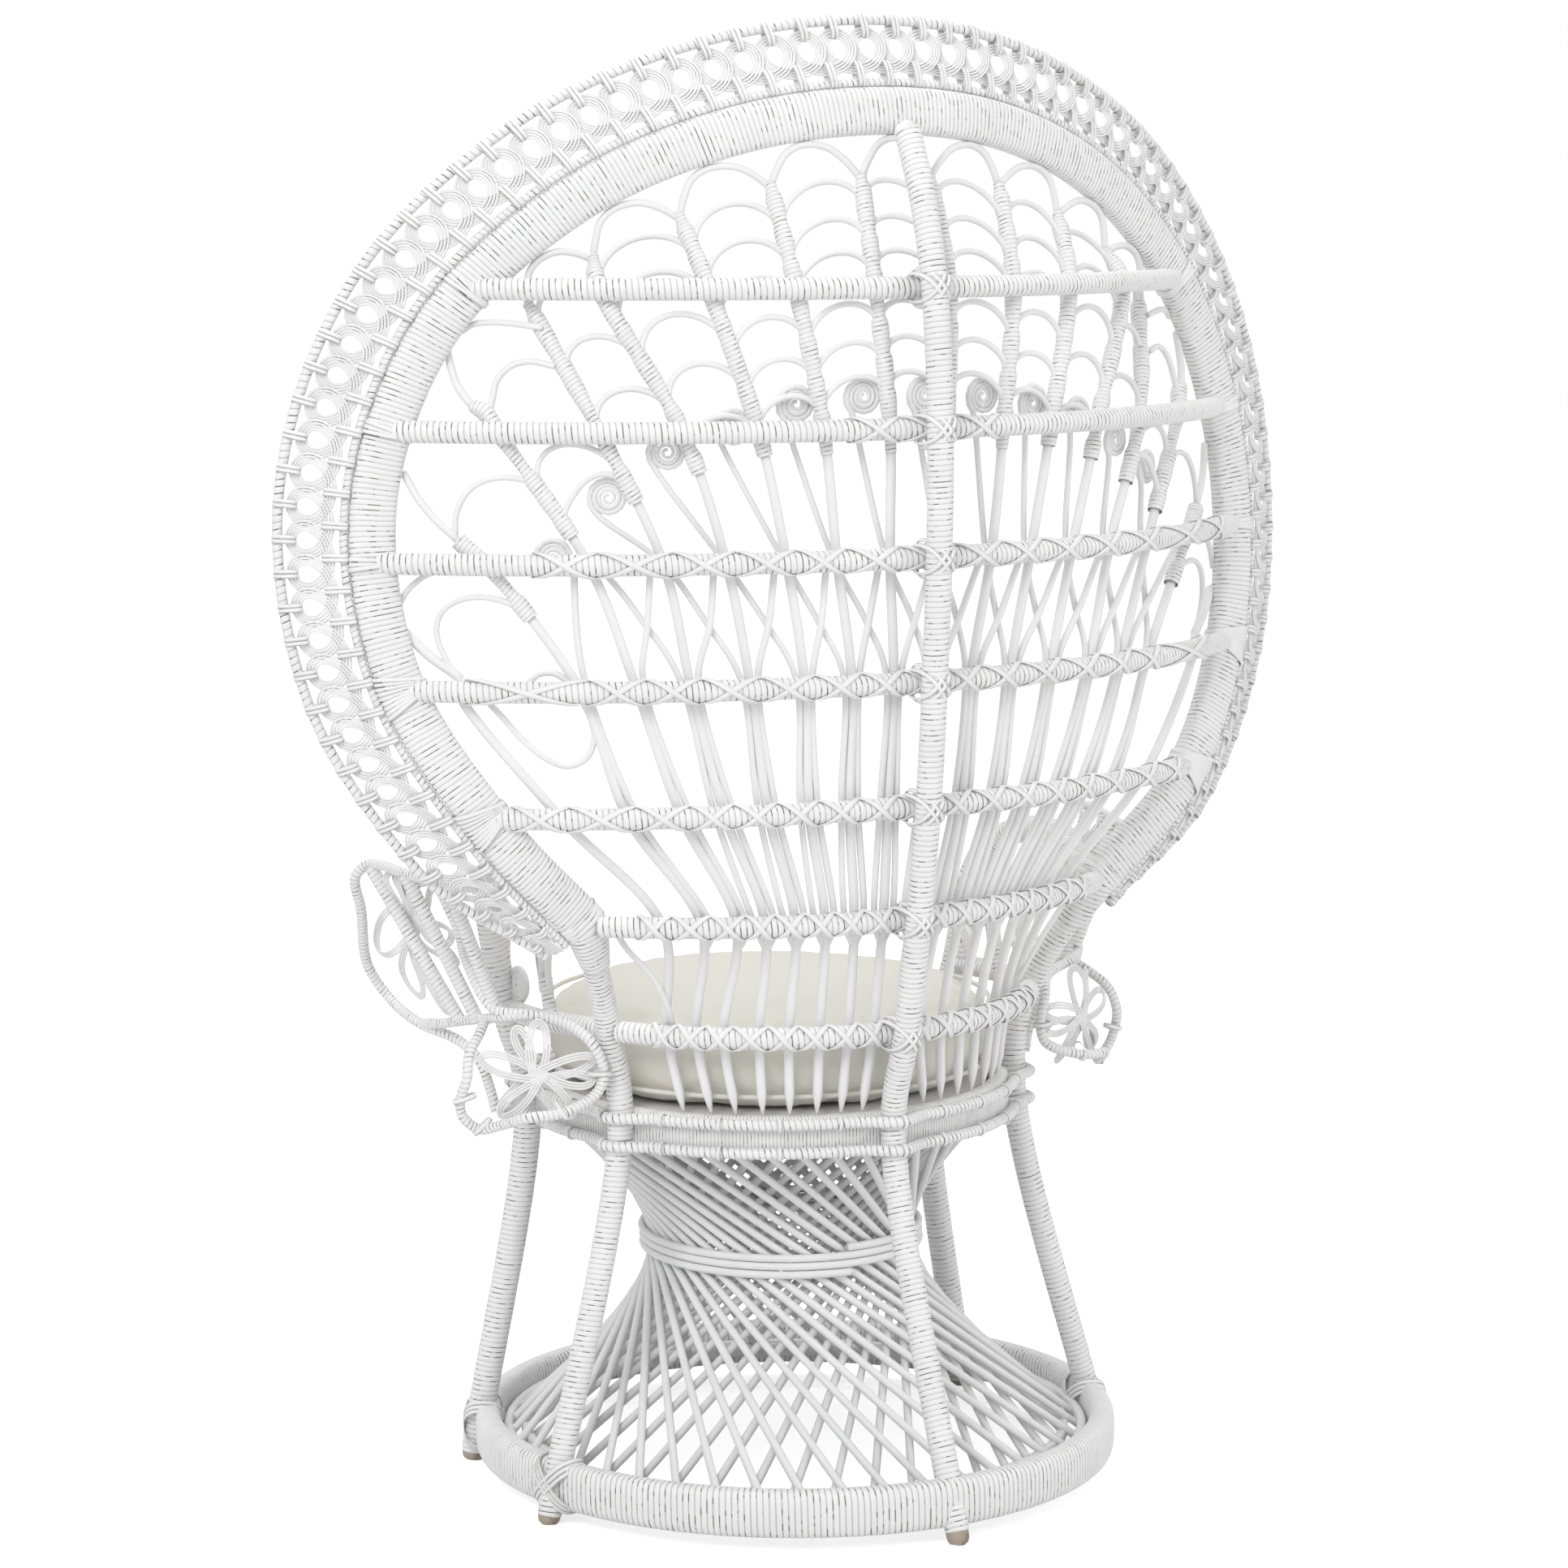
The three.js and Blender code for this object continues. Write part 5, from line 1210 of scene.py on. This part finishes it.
# %% Border canes
BORDER_HALF, BORDER_PITCH = 5.5, 5.6
HUG = BAND_MIDDLE + BAND_SIZES[0] + BORDER_HALF + 0.9
SWING_FLAT, SWING_WIDTH, SWING_POWER = 1.45, 1.35, 0.8
TIE_EVERY, TIE_HALF = 13.5, 6.2
posts_round_seat = [
    (-FRONT_SEAT, FRONT_POST_RADIUS), (-SIDE_SEAT, POST_RADIUS), (0, POST_RADIUS), (SIDE_SEAT, POST_RADIUS),
    (FRONT_SEAT, FRONT_POST_RADIUS),
]


def border_cane(node, z):
    """Cane round the band, pushed out at each post."""
    angles = np.arange(-179.6, 179.7, 1.0)
    radius = np.full(len(angles), HUG)
    for degrees, size in posts_round_seat:
        away = np.abs(angles - degrees) * math.pi / 180 * SEAT_RADIUS
        peak = SEAT_RADIUS + size + BORDER_HALF + FIT
        swing = np.clip(SWING_FLAT - away / (SWING_WIDTH * size), 0, 1) ** SWING_POWER
        radius = np.maximum(radius, HUG + (peak - HUG) * swing)
    smooth = np.convolve(np.pad(radius, 3, mode="edge"), np.ones(7) / 7, mode="valid")
    weave = Weave()
    path = around(-SEAT_FORWARD, np.maximum(smooth, HUG), angles, z)
    wrapped(weave, path, BORDER_HALF - 0.2, pitch=BORDER_PITCH, sides=10, look=fine_look)
    for degrees in np.arange(-176, 178, TIE_EVERY):
        place = around(-SEAT_FORWARD, float(np.interp(degrees, angles, smooth)), degrees, z)
        out = around(0, 1, degrees, 0)
        lash(weave, place, UP, out, TIE_HALF, TIE_HALF, 4.6, strip=0.6, power=2, steps=14, look=strip_look)
    piece(node, weave)


border_cane("seat_upper_cane", SEAT_TOP - BORDER_HALF)
border_cane("seat_lower_cane", SEAT_TOP - SEAT_BAND + BORDER_HALF)
print("seat band done")

# %% [markdown]
# ## Arms
# A cane runs over each arm, round its curled front and down to the seat, and a second one follows behind
# it. Thick wrapped spindles hold them apart, and bundles of reed are knotted between them.

# %% Courses of the arm canes and spindles
ARM_OVERHANG, ARM_DEPTH, ARM_OVER_HOOP, ARM_OVER_BAND = 161.0, 112.0, 40.0, 7.0
ARM_HEIGHT = HOOP_LOW + ARM_OVER_HOOP
ARM_DROP = ARM_HEIGHT - (SEAT_TOP - SEAT_BAND) - ARM_OVER_BAND
arm_edge = [
    (0.429, 1.027, 0), (0.534, 0.759, 0.008), (0.764, 0.268, 0.02), (0.907, -0.357, 0.008), (1, -0.95, 0),
    (1.05, -1.06, 0.05), (0.969, -1.223, 0.188), (0.826, -1.5625, 0.435), (0.702, -1.53, 0.56),
    (0.658, -1.027, 0.6235), (0.516, -0.6875, 0.671), (0.453, -0.482, 0.733), (0.379, -0.491, 0.847),
    (0.348, -0.473, 0.933),
]
arm_back = [
    (0.839, -0.107, 0.012), (0.702, -0.09, 0.204), (0.602, -0.24, 0.337), (0.516, 0.018, 0.498),
    (0.366, 0.232, 0.514), (0.153, 0.348, 0.553), (0.053, 0.532, 0.62), (-0.001, 0.58, 0.724),
    (0.043, 0.578, 0.796), (0.273, 0.62, 0.852), (0.472, 0.5625, 0.863), (0.565, 0.268, 0.91),
    (0.64, 0.098, 0.933), (0.733, 0.0625, 0.882), (0.758, 0.098, 0.816), (0.739, 0.17, 0.737),
    (0.702, 0.107, 0.651), (0.6, 0, 0.585), (0.522, -0.125, 0.545),
]
waist_cane = [
    (0.657, -1.015, 0.6225), (0.615, -0.696, 0.6), (0.565, -0.384, 0.569), (0.522, -0.125, 0.545),
    (0.466, 0.107, 0.525), (0.366, 0.232, 0.514),
]
spindles = [
    ((0.994, -0.93, 0.004), (0.578, -0.464, 0.577)), ((0.919, -0.464, 0.006), (0.54, -0.232, 0.556)),
    ((0.814, 0.06, 0.017), (0.506, -0.01, 0.48)),
]


def arm_place(rows):
    """Places from shares of the arm's overhang, depth and drop."""
    return [SEAT_RADIUS, 0, ARM_HEIGHT] + np.array(rows) * [ARM_OVERHANG, ARM_DEPTH, -ARM_DROP]


edge_places, back_places = arm_place(arm_edge), arm_place(arm_back)
print("an arm's front cane is", round(lengths(fair(edge_places))[-1]), "mm long")

# %% The two surfaces that the knots lie on
LOW_KNOT = np.array([295.0, 38.0, 420.0])
LOW_ACROSS, LOW_SIZES, LOW_BULGE = unit(np.array([0.91, -0.41, 0.0])), (56.0, 50.0), 10
LOW_IN = np.cross(LOW_ACROSS, UP)
upper_rows = [(0.30, 0.0), (0.42, 0.03), (0.55, 0.09), (0.68, 0.17)]
UPPER_MIDDLE, UPPER_HALF = 0.46, 0.4


def low_knot(p, q):
    """Places of the lower knot, which fills the ring of the arm's curl; p and q run from -1 to 1."""
    bulge = LOW_BULGE * (1 - p**2 - q**2)
    flat = LOW_KNOT + LOW_ACROSS * (LOW_SIZES[0] * p)[:, None] + UP * (LOW_SIZES[1] * q)[:, None]
    return flat + LOW_IN * -bulge[:, None]


def upper_knot(p, q):
    """Places of the upper knot, ruled between the arm's front and back canes."""
    step = (0.5 + 0.5 * q) * 3
    rows = np.array(upper_rows)
    start = course(edge_places, np.interp(step, range(4), rows[:, 0]))
    end = course(back_places, np.interp(step, range(4), rows[:, 1]))
    return start + (end - start) * (UPPER_MIDDLE + UPPER_HALF * p)[:, None]


# %% A knot of looped reeds
KNOT_REEDS, KNOT_SPACING, KNOT_HALF, KNOT_STEPS = 3, 2.6, 1.25, 44
# Surface, loops, reach, share of the slower turn, start in radians, lift over and under, and depth below
knots = [
    (low_knot, 5, 0.97, 0.47, 0.35, 3.2, 0.0), (low_knot, 3, 0.92, 0.55, 1.2, -3.0, 0.0),
    (upper_knot, 5, 1.0, 0.47, 0.5, 3.2, 10.0), (upper_knot, 3, 0.95, 0.55, 0.2, -3.0, 10.0),
]


def knot(weave, side, surface, loops, reach, share, turned, lift, sink):
    """A bundle of reeds that crosses a panel again and again and turns back in a loop at each corner."""
    t = np.linspace(0, 2 * np.pi, KNOT_STEPS * loops + 1)[:-1]
    slow, fast = loops // 2, loops - loops // 2
    p = reach * (share * np.cos(slow * t + turned) + (1 - share) * np.cos(fast * t - turned))
    q = reach * (share * np.sin(slow * t + turned) - (1 - share) * np.sin(fast * t - turned))
    step = 1e-2
    over_p, over_q = surface(p + step, q) - surface(p - step, q), surface(p, q + step) - surface(p, q - step)
    normal = unit(np.cross(over_p, over_q))
    normal = normal * np.sign(normal[:, :1] + 1e-9)
    path = on_side(surface(p, q) + normal * (lift * np.sin(loops * t) - sink)[:, None], side)
    along = unit(np.roll(path, -1, 0) - np.roll(path, 1, 0))
    beside = unit(np.cross(along, on_side(normal, side)))
    frames = beside, np.cross(along, beside)
    for k in range(KNOT_REEDS):
        place = path + beside * (k - (KNOT_REEDS - 1) / 2) * KNOT_SPACING
        strand(weave, place, KNOT_HALF, sides=6, closed=True, look=reed_look, frames=frames)


# %% Both arms
ARM_CANE, SPINDLE, ARM_PITCH = 5.1, 6.6, 4.6
KNOT_TIES = (7, 9, 12, 14)
for side, word in WORDS.items():
    canes = {"arm_edge_front_": [edge_places], "arm_edge_back_": [back_places, arm_place(waist_cane)]}
    for node, courses in canes.items():
        weave = Weave()
        for places in courses:
            wrapped(weave, on_side(fair(places), side), ARM_CANE, pitch=ARM_PITCH, sides=10, look=wrap_look)
        piece(node + word, weave)
    for number, ends in enumerate(spindles, 1):
        weave = Weave()
        path = respaced(on_side(arm_place(ends), side), 4)
        wrapped(weave, path, SPINDLE, pitch=ARM_PITCH, sides=12, look=wrap_look)
        piece(f"arm_spindle_{number}_{word}", weave)
    weave = Weave()
    for row in knots:
        knot(weave, side, *row)
    for at in back_places[list(KNOT_TIES)]:
        away = unit(at - LOW_KNOT)
        place, far, thick = (on_side(v, side) for v in (at - away * 4, away, LOW_IN))
        lash(weave, place, far, thick, 11, 6.6, 5.0, steps=14, look=strip_look)
    piece(f"arm_knotwork_{word}", weave)
print("arms done")

# %% [markdown]
# ## Side screens
# A wrapped stem stands on each side rail and opens into a scroll and a branch, which fill the side under
# the arm.

# %% Stem, scroll and branch
SCREEN_ACROSS, STEM_HALF, BRANCH_HALF = 248.6, 6.5, 3.4
CURL_MIDDLE, CURL_SIZES, CURL_TURNS, CURL_TIGHTENS = (-99, 479), (20, 18), 3.0, 3.4
curl = []
for turn in np.linspace(0, CURL_TURNS, 43):
    size, angle = 1 - turn / CURL_TIGHTENS, 2 * math.pi * turn
    y = CURL_MIDDLE[0] - CURL_SIZES[0] * size * math.cos(angle)
    curl.append((y, CURL_MIDDLE[1] - CURL_SIZES[1] * size * math.sin(angle)))
stem = [(-26, 450), (-30, 463), (-38, 494)]
scroll_rise = [
    (-45, 480), (-50, 500), (-56, 518), (-69, 534), (-87, 543), (-105, 543), (-118, 533), (-124, 516),
    (-124, 496),
]
branches = [
    scroll_rise + curl,
    [(-40, 484), (-50, 505), (-60, 543), (-73, 563)],
    [(-42, 500), (-48, 543), (-38, 558)],
    [(-32, 484), (-33, 510), (-29, 525), (-16, 536), (2, 540), (20, 536)],
]
screen_path = lambda rows, side: on_side(fair([(SCREEN_ACROSS, y, z) for y, z in rows]), side)
for side, word in WORDS.items():
    weave = Weave()
    wrapped(weave, screen_path(stem, side), STEM_HALF, pitch=4.3, sides=10)
    for rows in branches:
        strand(weave, screen_path(rows, side), BRANCH_HALF, sides=8, look=reed_look)
    piece(f"side_screen_{word}", weave)
print("side screens done")

# %% [markdown]
# ## The cushion
# A loose round cushion with a boxed side lies on the seat. Its cover is blown up by a short cloth
# simulation, which crowns the top and bellies the side. Modelling that by hand gives a shape that is too
# even.

# %% Cushion body
CUSHION_RADIUS, CUSHION_RISE, SEGMENTS = 216.5, 82.0, 72
LOWER_SEAM, UPPER_SEAM = 14.0, 69.0
SEAT_CLEAR = 0.5
# Steps in from the cushion's radius and up from its bottom
profile_steps = [
    (-22, 0.5), (-9, 5), (-3, LOWER_SEAM), (-0.5, 30), (-0.5, 58), (-3, UPPER_SEAM), (-12, 74.5), (-70, 79),
    (-140, 81),
]
cushion_low, cushion_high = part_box("seat_cushion")
low, high = cushion_low[2] / MM + SEAT_CLEAR, cushion_high[2] / MM
middle_y = (cushion_low[1] + cushion_high[1]) / 2


def turned(profile, segments):
    """Mesh of revolution from (radius, height) rows in mm; the first and last rows lie on the axis."""
    angles = [2 * math.pi * k / segments for k in range(segments)]
    verts = [(0, 0, profile[0][1])]
    for radius, z in profile[1:-1]:
        verts += [(radius * math.cos(angle), radius * math.sin(angle), z) for angle in angles]
    verts.append((0, 0, profile[-1][1]))
    rings = len(profile) - 2
    last = 1 + (rings - 1) * segments
    faces = []
    for k in range(segments):
        n = (k + 1) % segments
        faces.append((0, 1 + n, 1 + k))
        for r in range(rings - 1):
            a, b = 1 + r * segments, 1 + (r + 1) * segments
            faces.append((a + k, a + n, b + n, b + k))
        faces.append((last + k, last + n, len(verts) - 1))
    return verts, faces


profile = [(0, low)] + [(CUSHION_RADIUS + step, low + rise) for step, rise in profile_steps]
verts, faces = turned(profile + [(0, low + CUSHION_RISE)], SEGMENTS)
mesh = bpy.data.meshes.new("cushion_cover")
mesh.from_pydata([(x * MM, y * MM + middle_y, z * MM) for x, y, z in verts], [], faces)
cushion = bpy.data.objects.new("cushion_cover", mesh)
bpy.context.scene.collection.objects.link(cushion)
print("cushion from", round(low, 1), "to", round(high, 1), "mm")

# %% Blowing it up
VOXEL, MOVE_CAP, TOP_SPARE = 0.006, 0.006, 0.002
PRESSURE, STIFFNESS, CLOTH_FRAMES = 3.0, 30, 14


def apply_modifiers(thing):
    depsgraph = bpy.context.evaluated_depsgraph_get()
    result = bpy.data.meshes.new_from_object(thing.evaluated_get(depsgraph))
    thing.modifiers.clear()
    thing.data = result


def mesh_places(thing):
    """Places of all the vertices, as rows."""
    flat = np.empty(len(thing.data.vertices) * 3)
    thing.data.vertices.foreach_get("co", flat)
    return flat.reshape(-1, 3)


remesh = cushion.modifiers.new("remesh", "REMESH")
remesh.mode = "VOXEL"
remesh.voxel_size = VOXEL
apply_modifiers(cushion)
still = mesh_places(cushion)
cloth = cushion.modifiers.new("cloth", "CLOTH")
cloth.settings.use_pressure = True
cloth.settings.uniform_pressure_force = PRESSURE
cloth.settings.effector_weights.gravity = 0
cloth.settings.tension_stiffness = STIFFNESS
cloth.settings.compression_stiffness = STIFFNESS
for step in range(1, CLOTH_FRAMES + 1):
    bpy.context.scene.frame_set(step)
apply_modifiers(cushion)
bpy.context.scene.frame_set(1)
move = mesh_places(cushion) - still
far = np.linalg.norm(move, axis=1, keepdims=True)
blown = still + move * np.minimum(1, MOVE_CAP / np.maximum(far, 1e-9))
blown[:, 2] = np.clip(blown[:, 2], low * MM, high * MM + TOP_SPARE)
cushion.data.vertices.foreach_set("co", blown.ravel())
print("cloth moved the cover by up to", round(float(far.max()) / MM, 1), "mm")
smooth = cushion.modifiers.new("smooth", "SUBSURF")
smooth.levels = 1
apply_modifiers(cushion)
cushion.data.shade_smooth()

# %% Piping round both seams
PIPING_HALF = 2.3
piping = Weave()
for rise in (LOWER_SEAM, UPPER_SEAM):
    seam = around(middle_y / MM - shift, CUSHION_RADIUS, np.arange(0, 360, 2.0), low + rise)
    strand(piping, seam, PIPING_HALF, sides=8, closed=True)
piping_mesh = piece("seat_cushion", piping, "cushion_piping")
print("each seam's piping is", round(2 * math.pi * CUSHION_RADIUS), "mm long")

# %% [markdown]
# ## Cushion fabric
# Plain cream cotton. A fine square weave is crossed waves in the bump, mapped from the object's own place,
# because the remeshed cover has no UV map left. Waves along all three axes keep the weave on the side as
# well.

# %% Cotton weave
THREADS, WAVE = 900.0, {"Scale": 0.5, "Distortion": 0.6}
CREASE_SCALE, CREASE_HEIGHT, CREASE_SHADE_DARKEST = 9.0, 6.0, 0.93
cotton, given, out = new_group(
    "Plain weave", [("Threads per metre", "Float", THREADS)], [("Height", "Float"), ("Crease shade", "Float")],
)
where = put(cotton, "ShaderNodeTexCoord").outputs["Object"]
fine = put(cotton, "ShaderNodeVectorMath", {0: where, 3: given[0]}, operation="SCALE").outputs[0]
wave = {"Vector": fine, **WAVE}
waves = [put(cotton, "ShaderNodeTexWave", wave, bands_direction=axis).outputs[1] for axis in "XYZ"]
woven = maths(cotton, "ADD", maths(cotton, "ADD", waves[0], waves[1]), waves[2])
creases = noise(cotton, where, CREASE_SCALE, 3.0)
height = maths(cotton, "ADD", woven, maths(cotton, "MULTIPLY", creases, CREASE_HEIGHT))
cotton.links.new(height, out["Height"])
# The cover is darkened where the crease bump is low: painted shade in the creases.
cotton.links.new(remap(cotton, creases, 0.0, 1.0, CREASE_SHADE_DARKEST, 1.0), out["Crease shade"])
print("weave group has", len(cotton.nodes), "nodes")

# %% Cover and piping in cotton
CREAM = (0.80, 0.775, 0.71, 1)
THREAD_DEPTH = 0.0004
FABRIC = bpy.data.materials.new("cream cotton cover")
FABRIC.use_nodes = True
tree = FABRIC.node_tree
shader = tree.nodes["Principled BSDF"]
threads = put(tree, "ShaderNodeGroup", node_tree=cotton)
tree.links.new(blended(tree, 1.0, CREAM, threads.outputs["Crease shade"], "MULTIPLY"), shader.inputs["Base Color"])
shader.inputs["Roughness"].default_value = 0.92
shader.inputs["Sheen Weight"].default_value = 0.15
bump = {"Height": threads.outputs["Height"], "Strength": 0.25, "Distance": THREAD_DEPTH}
tree.links.new(put(tree, "ShaderNodeBump", bump).outputs[0], shader.inputs["Normal"])
for made in (cushion, piping_mesh):
    made.data.materials.clear()
    made.data.materials.append(FABRIC)
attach(cushion, "root")
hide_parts("seat_cushion")
# The seat ring and deck take the darker white too, painted shade under the seat.
for name in ("seat_frame_ring", "seat_deck"):
    for slot_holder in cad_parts[name].material_slots:
        slot_holder.material = SHADE
print("cushion done")

# %% [markdown]
# ## Floor, light and camera
# The chair stands on a plain pale floor in soft light. A large lamp from the upper left gives the gentle
# shading of the photograph. The background is pure white for the camera, and lights the chair with only
# part of that strength.

# %% Floor
FLOOR_HALF, FLOOR_DROP = 14.0, 0.0005
FLOOR_COLOUR, FLOOR_GLOW = (0.86, 0.86, 0.86, 1), 0.62
corners = [(-1, -1), (1, -1), (1, 1), (-1, 1)]
floor_mesh = bpy.data.meshes.new("floor")
floor_mesh.from_pydata([(x * FLOOR_HALF, y * FLOOR_HALF, 0) for x, y in corners], [], [(0, 1, 2, 3)])
floor = bpy.data.objects.new("floor", floor_mesh)
floor.location.z = -FLOOR_DROP
bpy.context.scene.collection.objects.link(floor)
pale = bpy.data.materials.new("pale floor")
pale.use_nodes = True
tree = pale.node_tree
shader = tree.nodes["Principled BSDF"]
shader.inputs["Roughness"].default_value = 0.9
shader.inputs["Specular IOR Level"].default_value = 0.1
shader.inputs["Base Color"].default_value = FLOOR_COLOUR
shader.inputs["Emission Color"].default_value = (1, 1, 1, 1)
seen = put(tree, "ShaderNodeLightPath").outputs["Is Camera Ray"]
tree.links.new(maths(tree, "MULTIPLY", seen, FLOOR_GLOW), shader.inputs["Emission Strength"])
floor_mesh.materials.append(pale)
print("floor is", 2 * FLOOR_HALF, "m wide")

# %% Background
AMBIENT = 0.62
world = bpy.data.worlds.new("studio")
bpy.context.scene.world = world
world.use_nodes = True
tree = world.node_tree
background = tree.nodes["Background"]
rays = put(tree, "ShaderNodeLightPath").outputs
shown = maths(tree, "MAXIMUM", rays["Is Camera Ray"], rays["Is Glossy Ray"])
shown = maths(tree, "MAXIMUM", shown, rays["Is Transmission Ray"])
strength = maths(tree, "ADD", maths(tree, "MULTIPLY", shown, 1 - AMBIENT), AMBIENT)
tree.links.new(strength, background.inputs["Strength"])
background.inputs["Color"].default_value = (1, 1, 1, 1)
print("background strength for the chair", AMBIENT)


# %% Lamps
def lamp(name, place, aim, size, watts):
    data = bpy.data.lights.new(name, "AREA")
    data.shape = "DISK"
    data.size = size
    data.energy = watts
    made = bpy.data.objects.new(name, data)
    bpy.context.scene.collection.objects.link(made)
    made.location = place
    toward = mathutils.Vector(aim) - mathutils.Vector(place)
    made.rotation_euler = toward.to_track_quat("-Z", "Y").to_euler()


lamp("key lamp", (3.2, 2.6, 3.4), (0, 0, 0.7), 2.4, 90)
lamp("fill lamp", (-2.8, 3.0, 2.0), (0, 0, 0.7), 2.6, 35)
lamp("top lamp", (0, -0.6, 3.6), (0, 0, 0.5), 2.2, 35)
print("lamps", [light.name for light in bpy.data.lights])

# %% Camera at the photograph's viewing angle
LENS, SENSOR = 101.65, 36
CAMERA_PLACE, CAMERA_TILT, CAMERA_TURN = (2.0314, 3.6921, 1.262), 81.97, 151.327
camera_data = bpy.data.cameras.new("camera")
camera_data.lens = LENS
camera_data.sensor_width = SENSOR
camera = bpy.data.objects.new("camera", camera_data)
bpy.context.scene.collection.objects.link(camera)
camera.location = mathutils.Vector(CAMERA_PLACE) + mathutils.Vector((0, shift * MM, 0))
camera.rotation_euler = (math.radians(CAMERA_TILT), 0, math.radians(CAMERA_TURN))
bpy.context.scene.camera = camera
bpy.context.scene.view_settings.view_transform = "Standard"
